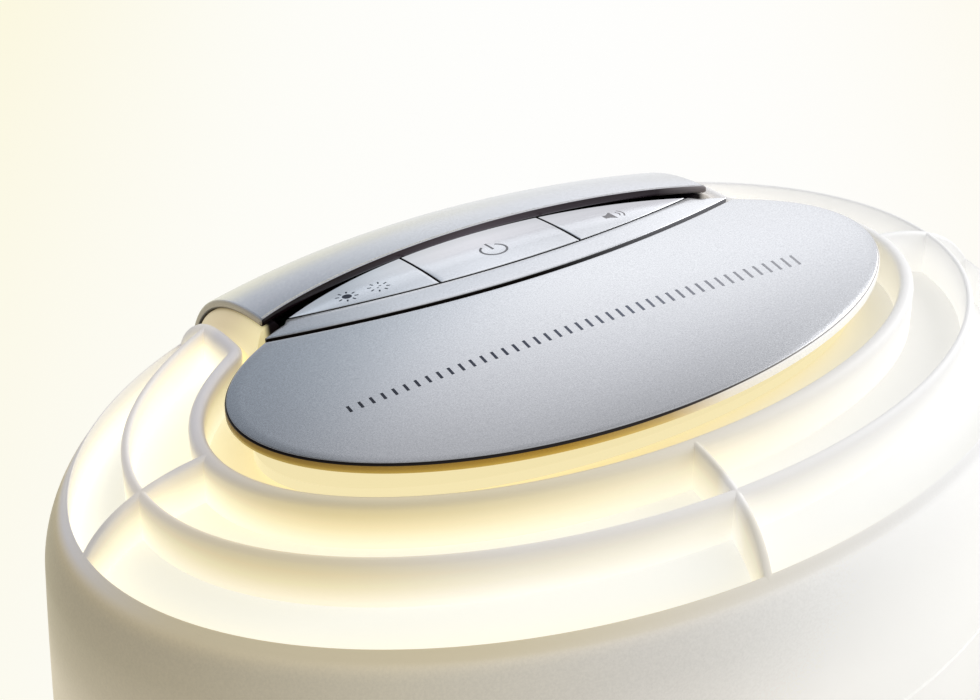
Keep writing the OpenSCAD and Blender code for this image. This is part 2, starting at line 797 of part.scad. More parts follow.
module chassis() color([0.85, 0.85, 0.83]) difference() {
    union() {
        difference() {
            oval_block(shelf_half_w, shelf_half_d, shelf_z, shelf_top_z);
            box_between([-wall_half_w + shelf_notch, wall_y + shelf_t, 0],
                [wall_half_w - shelf_notch, 2 * hood_half_d, body_h]);
            box_between([-end_x - seat_gap, saddle_front_y, 0],
                [end_x + seat_gap, 2 * hood_half_d, body_h]);
        }
        box_between([-wall_half_w, wall_y, wall_z], [wall_half_w, wall_y + shelf_t, wall_top_z]);
        for (x = [-leg_x, leg_x], y = [-leg_y, leg_y])
            disc_block(x, y, leg_r, floor_z, shelf_z + boss_bite);
        for (side = [-1, 1]) {
            disc_block(side * deck_screw_x, deck_screw_y, boss_r, wall_top_z - boss_h, deck_under_z);
            for (z = spine_screw_z)
                rod_y(side * spine_screw_x, z, spine_boss_r, wall_y + boss_bite, pad_y(z) - touch_gap);
            for (z = spacer_z)
                rod_y(side * spacer_x, z, spacer_r, wall_y + boss_bite, power_board_y);
        }
    }
    for (x = [-leg_x, leg_x], y = [-leg_y, leg_y])
        disc_block(x, y, screw_r, floor_z - over, floor_z + leg_bore);
    for (side = [-1, 1]) {
        disc_block(side * deck_screw_x, deck_screw_y, screw_r,
            deck_under_z - deck_screw_length, deck_under_z + over);
        for (z = spine_screw_z)
            rod_y(side * spine_screw_x, z, screw_r,
                pad_y(z) + pad_t - spine_screw_length - seat_gap, 2 * hood_half_d);
        rod_y(side * lead_x, lead_z, lead_hole_r, 0, wall_y + shelf_t + over);
    }
}

module spine_screws() color("silver") for (side = [-1, 1], z = spine_screw_z) {
    y = pad_y(z) + pad_t;
    rod_y(side * spine_screw_x, z, head_r, y, y + spine_head_t);
    rod_y(side * spine_screw_x, z, screw_r - touch_gap, y - spine_screw_length, y + sliver);
}

// Electronics behind the chassis wall

jack_x = 0;
jack_z = 50;
jack_r = 3.8;
jack_half = [4.5, 5.5];
jack_d = 13;
jack_hole_r = 2.75;
jack_hole_d = 9;
jack_pin_r = 1;
power_half_w = 24;
board_face_y = power_board_y + board_t;
part_d = 14;
coil_half_w = 14;
coil_rise = 40;
coil_z = power_z + coil_rise;
coil_h = 26;
can_drop = 14;
can_z = power_z + power_h - can_drop;
can_r = 5;
can_pitch = 14;

module power_board() color("darkgreen")
    box_between([-power_half_w, power_board_y, power_z], [power_half_w, board_face_y, power_z + power_h]);

module transformer() color("goldenrod")
    box_between([-coil_half_w, board_face_y, coil_z], [coil_half_w, board_face_y + part_d, coil_z + coil_h]);

module capacitors() color("midnightblue") for (i = [-1 : 1])
    rod_y(i * can_pitch, can_z, can_r, board_face_y, board_face_y + part_d);

module power_jack() color([0.1, 0.1, 0.1]) {
    y = spine_y(jack_x + jack_r, jack_z, 0);
    difference() {
        union() {
            box_between([jack_x - jack_half[0], board_face_y, jack_z - jack_half[1]],
                [jack_x + jack_half[0], board_face_y + jack_d, jack_z + jack_half[1]]);
            rod_y(jack_x, jack_z, jack_r, board_face_y + jack_d - over, y);
        }
        rod_y(jack_x, jack_z, jack_hole_r, y - jack_hole_d, y + over);
    }
    rod_y(jack_x, jack_z, jack_pin_r, y - jack_hole_d - over, y - over);
}

// Display and set buttons

display_y = 44;
window_over = 5;
window_play = 0.15;
frame_proud = 0.5;
main_half_w = 38;
main_gap = 2;
lcd_inset = 1;
lcd_d = 6;
function set_x(i) = (i - 1.5) * set_pitch;

module window_block(grow)
    box_between([-window_half_w - grow, -2 * drum_half_d, window_z - grow],
        [window_half_w + grow, 0, window_z + window_h + grow]);

module window_oval(grow, reach) hull()
    for (z = [window_z - reach, window_z + window_h + reach])
        oval_slice(side_level(z, grow, drum_half_w, drum_half_d));

module window_shell(outer, inner, grow) intersection() {
    difference() {
        window_oval(outer, window_over);
        window_oval(inner, window_over + over);
    }
    window_block(grow);
}

module display_window() color([0.15, 0.17, 0.2]) window_shell(0, -shade_wall, -window_play);

module display_frame() color("silver") difference() {
    window_shell(frame_proud, -shade_wall, frame_w);
    window_block(0);
}

module main_board() color("darkgreen")
    box_between([-main_half_w, -display_y, floor_z + seat_gap],
        [main_half_w, -display_y + board_t, shelf_z - main_gap]);

module lcd_module() color("darkgray")
    box_between([-window_half_w + lcd_inset, -display_y - lcd_d, window_z],
        [window_half_w - lcd_inset, -display_y - touch_gap, window_z + window_h]);

// A pill along Y with the set button's outline
module set_pill(x, grow, y0, y1) {
    half = (set_w - set_h) / 2;
    for (side = [-1, 1]) rod_y(x + side * half, set_z, set_h / 2 + grow, y0, y1);
    box_between([x - half, y0, set_z - set_h / 2 - grow], [x + half, y1, set_z + set_h / 2 + grow]);
}

switch_proud = 2.1;
set_switch_d = 1.4;
set_plunger_r = 1.5;
set_proud = 1;
flange = 0.9;
set_flange_t = 1.2;

module set_button(i) {
    x = set_x(i);
    reach = abs(x) + set_w / 2 + flange;
    flange_y = -shade_y(reach, set_z - set_h / 2 - flange, -shade_wall) + seat_gap;
    intersection() {
        set_pill(x, 0, -2 * drum_half_d, -display_y - switch_proud - set_travel - touch_gap);
        oval_block(drum_half_w + swell(set_z) + set_proud, drum_half_d + swell(set_z) + set_proud,
            0, shelf_z);
    }
    set_pill(x, flange, flange_y, flange_y + set_flange_t);
}

module menu_button() color("silver") set_button(0);
module minus_button() color("silver") set_button(1);
module plus_button() color("silver") set_button(2);
module alarm_button() color("silver") set_button(3);

module setting_switches() color("dimgray") for (i = [0 : 3]) {
    box_between([set_x(i) - switch_half, -display_y - set_switch_d, set_z - switch_half],
        [set_x(i) + switch_half, -display_y, set_z + switch_half]);
    rod_y(set_x(i), set_z, set_plunger_r, -display_y - switch_proud, -display_y - over);
}

// Loudspeaker on the base floor

speaker_r = 27;
speaker_y = 1;
speaker_rim = 3;
rim_t = 2;
basket_h = 13;
basket_r = 14;
basket_wall = 2;
magnet_r = 15;
magnet_h = 8;
cone_play = 0.2;
cone_t = 0.6;
cone_r = 9;
cone_h = 9.8;
dish_h = 9;
roll_w = 1.8;
roll_h = 1.2;

module speaker_frame() color("dimgray") translate([0, speaker_y, floor_z]) difference() {
    union() {
        cylinder(r = speaker_r, h = rim_t);
        cylinder(r1 = speaker_r - over, r2 = basket_r, h = rim_t + basket_h);
        translate([0, 0, rim_t + basket_h - over]) cylinder(r = magnet_r, h = magnet_h + over);
    }
    translate([0, 0, -over]) cylinder(r = speaker_r - speaker_rim, h = rim_t + over + sliver);
    translate([0, 0, rim_t])
        cylinder(r1 = speaker_r - speaker_rim, r2 = basket_r - basket_wall, h = basket_h - over);
}

module speaker_cone() color("black") translate([0, speaker_y, floor_z]) difference() {
    mouth_r = speaker_r - speaker_rim - cone_play;
    union() {
        translate([0, 0, rim_t + cone_play]) cylinder(r1 = mouth_r - over, r2 = cone_r, h = cone_h);
        cylinder(r = mouth_r, h = rim_t + cone_play);
    }
    translate([0, 0, -over]) cylinder(r = mouth_r - roll_w, h = roll_h + over);
    translate([0, 0, roll_h - sliver]) cylinder(r1 = mouth_r - roll_w, r2 = cone_r - cone_t, h = dish_h);
}

// Base

base_half_w = drum_half_w + swell(shade_z);
base_half_d = drum_half_d + swell(shade_z);
upstand_t = 2.2;
upstand_h = 4.6;
upstand_z = shade_z + upstand_h;
foot_x = 52;
foot_y = 32;
slot_pitch = 5;
slot_half = 1;
slot_field = 20;
screw_recess = 1.2;
base_screw_length = 13;

module base_cover() color("lightgray") difference() {
    union() {
        oval_block(base_half_w - plinth_inset, base_half_d - plinth_inset, foot_h, shade_z - touch_gap);
        intersection() {
            oval_block(hood_half_w + swell(shade_z) - plinth_inset,
                hood_half_d + swell(shade_z) - plinth_inset, foot_h, shade_z - touch_gap);
            rear_band(spine_half_w - plinth_inset, 0);
        }
        oval_block(base_half_w - shade_wall - seat_gap, base_half_d - shade_wall - seat_gap,
            foot_h, upstand_z);
    }
    oval_block(base_half_w - shade_wall - seat_gap - upstand_t,
        base_half_d - shade_wall - seat_gap - upstand_t, floor_z, upstand_z + over);
    // Slots under the loudspeaker
    for (i = [-3 : 3]) {
        reach = sqrt(pow(slot_field, 2) - pow(i * slot_pitch, 2));
        box_between([-reach, speaker_y + i * slot_pitch - slot_half, 0],
            [reach, speaker_y + i * slot_pitch + slot_half, floor_z + over]);
    }
    for (x = [-leg_x, leg_x], y = [-leg_y, leg_y]) {
        disc_block(x, y, screw_r + hole_gap, 0, floor_z + over);
        disc_block(x, y, head_r + hole_gap, 0, foot_h + screw_recess);
    }
}

module rubber_feet() color("black") for (x = [-foot_x, foot_x], y = [-foot_y, foot_y])
    disc_block(x, y, foot_r, 0, foot_h);

module base_screws() color("silver") for (x = [-leg_x, leg_x], y = [-leg_y, leg_y])
    screw_z(x, y, foot_h + screw_recess, base_screw_length, true);

// The pieces are drawn round the drum's middle and placed round the middle of the whole clock.
middle_y = (hood_half_d - drum_half_d) / 2;

module placed()
    translate([0, -middle_y, 0])
        children();

placed() drum_shade();
placed() top_grille();
placed() inner_diffuser();
placed() rear_spine();
placed() button_bezel();
placed() snooze_plate();
placed() light_button();
placed() power_button();
placed() sound_button();
placed() deck_carrier();
placed() plate_screws();
placed() snooze_springs();
placed() rocker_pin();
placed() switch_board();
placed() tact_switches();
placed() deck_screws();
placed() heat_shield();
placed() shield_screws();
placed() lamp_glass();
placed() lamp_cap();
placed() lamp_socket();
placed() lamp_leads();
placed() reflector();
placed() chassis();
placed() spine_screws();
placed() power_board();
placed() transformer();
placed() capacitors();
placed() power_jack();
placed() main_board();
placed() lcd_module();
placed() display_window();
placed() display_frame();
placed() menu_button();
placed() minus_button();
placed() plus_button();
placed() alarm_button();
placed() setting_switches();
placed() speaker_frame();
placed() speaker_cone();
placed() base_cover();
placed() rubber_feet();
placed() base_screws();
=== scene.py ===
from math import acos, cos, hypot, pi, radians, sin, sqrt

import bmesh
import bpy
import numpy as np
from mathutils import Matrix, Vector


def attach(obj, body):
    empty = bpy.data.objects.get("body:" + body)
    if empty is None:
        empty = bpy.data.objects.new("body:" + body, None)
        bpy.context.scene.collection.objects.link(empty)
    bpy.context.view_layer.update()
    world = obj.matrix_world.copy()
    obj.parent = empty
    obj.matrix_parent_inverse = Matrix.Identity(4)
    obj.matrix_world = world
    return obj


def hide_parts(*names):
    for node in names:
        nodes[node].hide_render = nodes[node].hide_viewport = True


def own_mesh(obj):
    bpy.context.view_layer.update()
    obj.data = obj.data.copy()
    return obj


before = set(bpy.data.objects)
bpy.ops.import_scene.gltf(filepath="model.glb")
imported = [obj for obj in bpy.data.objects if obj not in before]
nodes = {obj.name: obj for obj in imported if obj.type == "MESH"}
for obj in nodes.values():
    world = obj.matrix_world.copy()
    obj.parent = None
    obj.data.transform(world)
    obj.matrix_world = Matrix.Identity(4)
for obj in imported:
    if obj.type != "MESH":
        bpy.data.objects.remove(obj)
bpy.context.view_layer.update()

# ---- sizes in mm, most of them as in the part's source
BODY_H = 230.0
DRUM_W, DRUM_D = 88.5, 57.5
SKIN_TOP, SKIN_DROP, SKIN_POWER = BODY_H - 4.9, 22.4, 7.35
SHOULDER_Z = SKIN_TOP - SKIN_DROP
SWELL, SWELL_Z = 4.0, SHOULDER_Z * 0.567
SEAM_Z = BODY_H - 54.0
SHADE_Z = 8.0
SHADE_WALL = 2.6
FULL = 1.6  # how far the shoulder stands out past the part's
RING_W, RING_D, RING_T = 63.2, 34.2, 2.6
MID_W, MID_D, MID_T = 75.0, 46.0, 1.4
RIM_W, RIM_D = 85.4, 55.6
RING_H = 7.4
FLOOR_DROP = 8.0
WALL_H = FLOOR_DROP + 0.15
SPOKE_T = 1.5
END_X, END_WALL_T = 47.5, 2.3
PLATE_W, PLATE_D, PLATE_T = 60.0, 28.8, 2.0
REAR_R, REAR_Y = 138.0, 10.8
CROWN_R, CROWN_RW, CROWN_Y = 126.6, 770.0, 2.9
STRIP_W, STRIP_GAP = 6.7, 0.8
LENS_W, LENS_D, CUT_X, BUTTON_GAP, FACE_T = 39.2, 15.9, 13.7, 0.3, 2.5
HOOD_HALF, HOOD_T = 44.0, 1.5
HOOD_W, HOOD_D, HOOD_RISE, HOOD_DROP, HOOD_POWER = 101.5, 61.0, 1.0, 28.5, 3.18
HOOD_TOP = BODY_H + HOOD_RISE
SKIN = (DRUM_W, DRUM_D, SKIN_TOP, SKIN_DROP, SKIN_POWER)
HOOD = (HOOD_W, HOOD_D, HOOD_TOP, HOOD_DROP, HOOD_POWER)
LIP_Y, LIP_R = 30.8, 154.7
SADDLE_X, SADDLE_Y = 40.6, 20.0
DIFF_GAP, DIFF_T, DIFF_SIDE_Z, DIFF_FOOT_Z, DIFF_REAR_Y = 8.0, 1.8, 188.0, 65.0, 24
WINDOW_W, WINDOW_Z, WINDOW_H, FRAME_W = 31.5, 27.0, 26.0, 2.0
SET_Z, SET_PITCH, SET_W, SET_H = 17.4, 18.0, 12.0, 6.0
MID_Y = (HOOD_D - DRUM_D) / 2
TRAY_W, TRAY_D = 56.0, 25.0  # the oval on which the tray's painted glow starts
CUT_Y0, CUT_Y1 = -120, -20  # how far the cutters reach through the front
MM = 0.001
BLACK = (0, 0, 0)


def swell(z):
    return SWELL * (1 - ((z - SWELL_Z) / (SHOULDER_Z - SWELL_Z)) ** 2)


def skin_z(x, y):
    rho = np.minimum(np.sqrt((x / DRUM_W) ** 2 + (y / DRUM_D) ** 2), 1.0)
    return SKIN_TOP - SKIN_DROP * (1 - np.sqrt(1 - rho ** SKIN_POWER))


def crown_z(x, y):
    return BODY_H - CROWN_R + np.sqrt(CROWN_R ** 2 - (y - CROWN_Y) ** 2 - x ** 2 * CROWN_R / CROWN_RW)


# ---- meshes
def make(name, verts, faces, material, body="clock"):
    """A mesh object from points in mm round the drum's middle."""
    v = np.asarray(verts, float).reshape(-1, 3).copy()
    v[:, 1] -= MID_Y
    v *= MM
    mesh = bpy.data.meshes.new(name)
    mesh.from_pydata(v.tolist(), [], [list(map(int, f)) for f in faces])
    mesh.validate()
    mesh.polygons.foreach_set("use_smooth", [True] * len(mesh.polygons))
    obj = bpy.data.objects.new(name, mesh)
    bpy.context.collection.objects.link(obj)
    mesh.materials.append(material)
    if body:
        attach(obj, body)
    return obj


def grid_faces(nu, nv, wrap_u=False, wrap_v=False, start=0):
    faces = []
    for i in range(nu if wrap_u else nu - 1):
        for j in range(nv if wrap_v else nv - 1):
            a, b = i * nv + j, ((i + 1) % nu) * nv + j
            c, d = ((i + 1) % nu) * nv + (j + 1) % nv, i * nv + (j + 1) % nv
            faces.append((start + a, start + b, start + c, start + d))
    return faces


def fix_normals(obj):
    bm = bmesh.new()
    bm.from_mesh(obj.data)
    bmesh.ops.remove_doubles(bm, verts=bm.verts, dist=1e-6)
    bmesh.ops.recalc_face_normals(bm, faces=bm.faces)
    bm.to_mesh(obj.data)
    bm.free()
    return obj


def dress(obj, angle, node):
    """Smooth shading that keeps edges sharper than the angle; the node's own part is then hidden, and the piece
    shows in its place.
    """
    bpy.context.view_layer.objects.active = obj
    for o in bpy.context.selected_objects:
        o.select_set(False)
    obj.select_set(True)
    bpy.ops.object.shade_smooth_by_angle(angle=radians(angle))
    obj.select_set(False)
    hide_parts(node)


def sweep(name, path, material):
    """path: [n][k][3] points of the section at each station, already placed. Both ends are closed."""
    n, k = path.shape[:2]
    faces = grid_faces(n, k, False, True)
    faces += [tuple(range(k)), tuple((n - 1) * k + j for j in range(k))[::-1]]
    return fix_normals(make(name, path, faces, material))


def round_section(t, r):
    """Points (across, below the top) of a wall with a rounded top, from its inner foot to its outer foot."""
    quarter = np.linspace(0, pi / 2, 5)
    pts = [(0.0, WALL_H - (WALL_H - r) * i / 4) for i in range(4)]
    pts += [(r - r * cos(a), r - r * sin(a)) for a in quarter]
    pts += [(t - r + r * sin(a), r - r * cos(a)) for a in quarter]
    pts += [(t, r + (WALL_H - r) * i / 4) for i in range(1, 5)]
    out = []
    for p in pts:
        if not out or abs(p[0] - out[-1][0]) + abs(p[1] - out[-1][1]) > 1e-6:
            out.append(p)
    return np.array(out)


# ---- materials
class Nodes:
    """Short calls for a node tree. An input takes a number, a colour or another node's output."""
    def __init__(self, name, kind="Material"):
        self.data = (bpy.data.worlds if kind == "World" else bpy.data.materials).new(name)
        self.data.use_nodes = True
        self.tree = self.data.node_tree
        self.tree.nodes.clear()
        self.out = self.add("Output" + kind)

    def add(self, kind, inputs=None, **values):
        node = self.tree.nodes.new("ShaderNode" + kind)
        for key, value in values.items():
            setattr(node, key, value)
        for key, value in (inputs or {}).items():
            self.put(node.inputs[key], value)
        return node

    def put(self, socket, value):
        if isinstance(value, bpy.types.NodeSocket):
            self.tree.links.new(value, socket)
        else:
            socket.default_value = (*value, 1) if isinstance(value, tuple) else value

    def surface(self, node):
        self.put(self.out.inputs["Surface"], node.outputs[0])

    def principled(self, **values):
        self.surface(self.add("BsdfPrincipled", {key.replace("_", " "): v for key, v in values.items()}))

    def coords(self):
        return self.add("TexCoord").outputs["Object"]

    def noise(self, scale, detail=2.0, rough=0.5):
        inputs = {"Vector": self.coords(), "Scale": scale, "Detail": detail, "Roughness": rough}
        return self.add("TexNoise", inputs).outputs["Fac"]

    def ramp(self, source, stops, kind="LINEAR"):
        """stops: {place: colour}; a colour of one number is a grey."""
        node = self.add("ValToRGB", {0: source})
        node.color_ramp.interpolation = kind
        ramp = node.color_ramp.elements
        ramp.remove(ramp[-1])
        for i, (at, color) in enumerate(stops.items()):
            item = ramp[0] if i == 0 else ramp.new(at)
            item.position = at
            item.color = (*color, 1) if isinstance(color, tuple) else (color, color, color, 1)
        return node.outputs["Color"]

    def math(self, op, a, b=None, clamp=False):
        inputs = {0: a} if b is None else {0: a, 1: b}
        return self.add("Math", inputs, operation=op, use_clamp=clamp).outputs[0]

    def times(self, a, b):
        return self.math("MULTIPLY", a, b)

    def minus(self, a, b):
        return self.math("SUBTRACT", a, b)

    def total(self, a, b):
        return self.math("ADD", a, b)

    def length(self, a, b):
        return self.math("SQRT", self.total(self.times(a, a), self.times(b, b)))

    def remap(self, value, lo, hi, to_lo=0.0, to_hi=1.0, kind="LINEAR"):
        inputs = {"Value": value, "From Min": lo, "From Max": hi, "To Min": to_lo, "To Max": to_hi}
        return self.add("MapRange", inputs, interpolation_type=kind).outputs["Result"]

    def fade(self, value, lo, hi):
        """0 at lo, 1 at hi, with soft ends."""
        return self.remap(value, lo, hi, kind="SMOOTHSTEP")

    def bump(self, height, strength, distance):
        inputs = {"Strength": strength, "Distance": distance, "Height": height}
        return self.add("Bump", inputs).outputs["Normal"]

    def mix(self, share, a, b, kind="MIX"):
        return self.add("Mix", {0: share, 6: a, 7: b}, data_type="RGBA", blend_type=kind).outputs[2]

    def facing(self):
        """The surface's normal."""
        return self.add("SeparateXYZ", {0: self.add("NewGeometry").outputs["Normal"]}).outputs

    def xyz(self):
        return self.add("SeparateXYZ", {0: self.coords()}).outputs

    def oval(self, half_w, half_d):
        """Distance in units of an oval round the drum's axis, 1 on the oval."""
        x, y, _ = self.xyz()
        a = self.math("POWER", self.math("DIVIDE", x, half_w * MM), 2.0)
        b = self.math("POWER", self.math("DIVIDE", self.total(y, MID_Y * MM), half_d * MM), 2.0)
        return self.math("SQRT", self.total(a, b))


def mottled(n, source, color, low, high=1.0, at=(0.3, 0.7)):
    """A colour that wanders with the source between two of its shades."""
    dark, light = (tuple(min(1.0, c * k) for c in color) for k in (low, high))
    return n.ramp(source, {at[0]: dark, at[1]: light})


def plain(name, color, rough, bump=0.15, scale=900.0, metallic=0.0, spread=0.12, **more):
    """Moulded plastic, paper, rubber or metal with a fine grain and slight shade changes."""
    n = Nodes(name)
    grain = n.noise(scale, 3.0)
    n.principled(
        Base_Color=mottled(n, n.noise(22.0), color, 1 - spread, 1 + spread), Metallic=metallic,
        Roughness=n.remap(grain, 0.2, 0.8, rough * 0.85, min(1.0, rough * 1.15)),
        Normal=n.bump(grain, bump, 0.0002), **more)
    return n.data


def silver(name, color, rough, edge, glow=None):
    """Silver lacquer with metal flakes. edge(n) gives (colour, share) of the part's sides, share 0 on top; the
    sides' colour is painted reflection and shade, and glow(n), if given, is painted light as emission.
    """
    n = Nodes(name)
    flakes = n.noise(3600.0, 2.0, 0.7)
    side, share = edge(n)
    light = {"Emission_Color": glow(n), "Emission_Strength": 1.0} if glow else {}
    n.principled(
        Base_Color=n.mix(share, mottled(n, flakes, color, 0.84, 1.1, (0.25, 0.75)), side),
        Metallic=n.times(n.minus(1.0, share), 0.88), Coat_Weight=0.08, Coat_Roughness=0.35,
        Roughness=n.remap(n.noise(16.0), 0.3, 0.7, rough * 0.96, rough * 1.04),
        Specular_IOR_Level=n.remap(share, 0.0, 1.0, 0.5, 0.12), Normal=n.bump(flakes, 0.1, 0.00004), **light)
    return n.data


def across(n, half):
    """0 at half mm left of the middle, 1 at as much right of it."""
    return n.remap(n.xyz()[0], -half * MM, half * MM)


def side_share(n):
    """0 on the plate's top and its painted dark edge, 1 on its side; the dark edge, a painted reflection, is
    thinner on the right.
    """
    shift = n.remap(n.xyz()[0], -12 * MM, 20 * MM, 0.0, 0.36, "SMOOTHSTEP")
    return n.fade(n.minus(n.facing()[2], shift), 0.36, 0.22)


def plate_edge_painted_reflection(n):
    """Painted reflection: a dark rounded edge, and a side painted with the lamp's gold in front and daylight on
    the right.
    """
    side = n.ramp(across(n, 60), {
        0: (0.3, 0.19, 0.05), 0.35: (0.45, 0.27, 0.045), 0.5: (0.6, 0.44, 0.18), 0.6: (0.86, 0.81, 0.72),
        0.75: (0.95, 0.95, 0.93), 1: 0.9})
    line = n.ramp(across(n, 60), {
        0: (0.006, 0.004, 0.005), 0.5: (0.015, 0.01, 0.01), 0.62: (0.08, 0.07, 0.065), 0.78: (0.36, 0.34, 0.33),
        1: (0.5, 0.48, 0.47)})
    return n.mix(side_share(n), line, side), n.fade(n.facing()[2], 0.93, 0.8)


def plate_painted_glow(n):
    """Painted light as emission: the plate's side glows gold towards its foot, and is painted white where the
    daylight falls on it.
    """
    x, y, z = n.xyz()
    dy = n.minus(y, (CROWN_Y - MID_Y) * MM)
    bent = n.total(n.times(dy, dy), n.times(n.times(x, x), CROWN_R / CROWN_RW))
    top = n.total(n.math("SQRT", n.minus((CROWN_R * MM) ** 2, bent)), (BODY_H - CROWN_R) * MM)
    foot = n.ramp(n.remap(n.minus(top, z), 0.4 * MM, PLATE_T * MM), {
        0: 0, 0.4: (0.08, 0.055, 0.01), 0.75: (0.22, 0.17, 0.04), 1: (0.4, 0.35, 0.14)})
    share = n.fade(x, -8 * MM, 18 * MM)
    side = side_share(n)
    front = n.fade(n.facing()[1], 0.2, -0.1)
    return n.mix(n.times(side, front), BLACK, n.mix(share, foot, (0.17, 0.17, 0.175)))


def gap_side(n):
    """0 on the tops beside the narrow gaps, 1 on their sides."""
    return n.fade(n.facing()[2], 0.86, 0.62)


def gap_painted_light(n):
    """Painted light as emission: daylight painted into the narrow gaps on the right, and a faint painted sheen
    on the tops beside them.
    """
    share = n.fade(n.xyz()[0], 2 * MM, 34 * MM)
    top = n.ramp(across(n, 45), {0: 0, 0.25: 0.09, 0.5: 0.02, 0.7: 0.02, 0.94: 0.15})
    inside = n.mix(n.times(share, gap_side(n)), BLACK, (0.085, 0.085, 0.092))
    return n.mix(1.0, inside, n.mix(gap_side(n), top, BLACK), "ADD")


def gap_painted_shade(n):
    """Painted shade: sides in the narrow gaps are black on the left and grey on the right, where daylight
    reaches in.
    """
    color = n.ramp(across(n, 45), {
        0: (0.004, 0.003, 0.004), 0.5: (0.006, 0.005, 0.006), 0.72: (0.05, 0.05, 0.055), 1: (0.11, 0.11, 0.12)})
    return color, gap_side(n)


def hood_edge_painted_shade(n):
    """The lip's front and underside are painted with shade: dark towards the underside, lighter to the right
    where daylight falls; the hood's ends are taupe.
    """
    turn_x, turn_y, turn_z = n.facing()
    end = n.fade(n.math("ABSOLUTE", turn_x), 0.35, 0.85)
    lip_share = n.fade(n.times(turn_y, -1.0), 0.0, 0.42)
    under = n.fade(turn_z, -0.1, -0.4)
    dark = n.math("MAXIMUM", lip_share, under)
    lip_underside_painted_shade = n.ramp(across(n, 44), {
        0: (0.004, 0.001, 0.002), 0.2: (0.006, 0.002, 0.003), 0.36: (0.035, 0.024, 0.03),
        0.5: (0.07, 0.055, 0.066), 0.7: (0.035, 0.026, 0.033), 0.9: (0.03, 0.022, 0.028),
        1: (0.34, 0.31, 0.32)})
    face = n.ramp(across(n, 44), {
        0: (0.1, 0.065, 0.06), 0.3: (0.08, 0.055, 0.065), 0.5: (0.15, 0.12, 0.14), 0.8: (0.16, 0.12, 0.14),
        0.93: (0.3, 0.25, 0.26), 1: (0.45, 0.41, 0.42)})
    color = n.mix(n.times(end, n.minus(1.0, under)), n.mix(n.remap(dark, 0.35, 1.0), face, lip_underside_painted_shade),
                  n.ramp(n.noise(30.0), {0: (0.36, 0.31, 0.23), 1: (0.42, 0.36, 0.27)}))
    return color, n.math("MAXIMUM", dark, n.times(end, 0.85))


def glow_plastic(name, color, rough, glow, grain=0.25, fine_scale=2600.0):
    """Translucent plastic. color(n) and glow(n) return the base colour, in several pieces with painted light
    and shade in it, and the light that comes through, painted as emission.
    """
    n = Nodes(name)
    fine = n.noise(fine_scale, 2.0, 0.6)
    n.principled(
        Base_Color=color(n), Emission_Color=glow(n), Emission_Strength=1.0, Specular_IOR_Level=0.35,
        Roughness=n.remap(fine, 0.2, 0.8, rough * 0.85, rough * 1.15), Normal=n.bump(fine, grain, 0.00006))
    return n.data


def along(n):
    """Metres towards the studio's bright side, from the clock's middle."""
    x, y, _ = n.xyz()
    return n.minus(n.times(x, 0.93), n.times(y, 0.37))


def to_right(n):
    """0 on the clock's left, 1 on its right and front right, where the studio is brightest."""
    return n.fade(along(n), -32 * MM, 66 * MM)


def broad(n, color):
    return mottled(n, n.noise(14.0), color, 0.985)


def in_front(n):
    """0 beside and behind the plate, 1 in front of it and left of the bright side."""
    return n.times(n.fade(n.xyz()[1], 8 * MM, -26 * MM), n.minus(1.0, to_right(n)))


def thin_ring(n):
    """1 on the thin ring, 0 on the other walls."""
    return n.ramp(n.remap(n.oval(MID_W, MID_D), 0.8, 1.3), {0.26: 0, 0.34: 1, 0.5: 1, 0.6: 0})


def wall_color_painted_light(n):
    """The rings' white with painted light: the lamp's warmth painted in front, least on the thin ring, and a
    lighter white painted on the bright side.
    """
    thin = n.remap(along(n), -48 * MM, -14 * MM, 0.75, 0.2, "SMOOTHSTEP")
    by_ring = n.mix(thin_ring(n), (0.9, 0.9, 0.9), thin)
    painted_daylight_white = n.mix(to_right(n), broad(n, (0.77, 0.765, 0.775)), (0.88, 0.88, 0.885))
    return n.mix(n.times(in_front(n), by_ring), painted_daylight_white, (0.77, 0.69, 0.47))


def skin_depth(n):
    """Depth under the drum's skin, in metres."""
    d = n.oval(DRUM_W, DRUM_D)
    k = n.math("POWER", n.math("MINIMUM", d, 0.9999), SKIN_POWER)
    drop = n.times(n.minus(n.math("SQRT", n.minus(1.0, k)), 1.0), SKIN_DROP * MM)
    top = n.total(drop, SKIN_TOP * MM)
    return n.minus(top, n.xyz()[2])


def wall_painted_glow(n):
    """Painted light as emission: light from below that fades up the walls, with painted daylight on the right;
    the thin ring gets the most.
    """
    depth = n.remap(skin_depth(n), 0.0, RING_H * MM)
    left = n.ramp(depth, {
        0: (0.1, 0.09, 0.1), 0.1: (0.12, 0.1, 0.08), 0.28: (0.22, 0.18, 0.1), 0.55: (0.42, 0.38, 0.22),
        1: (0.5, 0.47, 0.34)})
    front = n.ramp(depth, {
        0: (0.07, 0.05, 0.03), 0.1: (0.08, 0.06, 0.02), 0.28: (0.13, 0.1, 0.03), 0.6: (0.25, 0.225, 0.14),
        1: (0.4, 0.39, 0.36)})
    right = n.ramp(depth, {
        0: 0.09, 0.2: (0.12, 0.12, 0.115), 0.5: (0.2, 0.195, 0.18), 1: (0.26, 0.25, 0.22)})
    extra = n.mix(n.fade(along(n), -48 * MM, -14 * MM), (0.08, 0.065, 0.035), (0.09, 0.09, 0.09))
    thin = n.mix(thin_ring(n), BLACK, extra)
    return n.mix(to_right(n), n.mix(1.0, n.mix(in_front(n), left, front), thin, "ADD"), right)


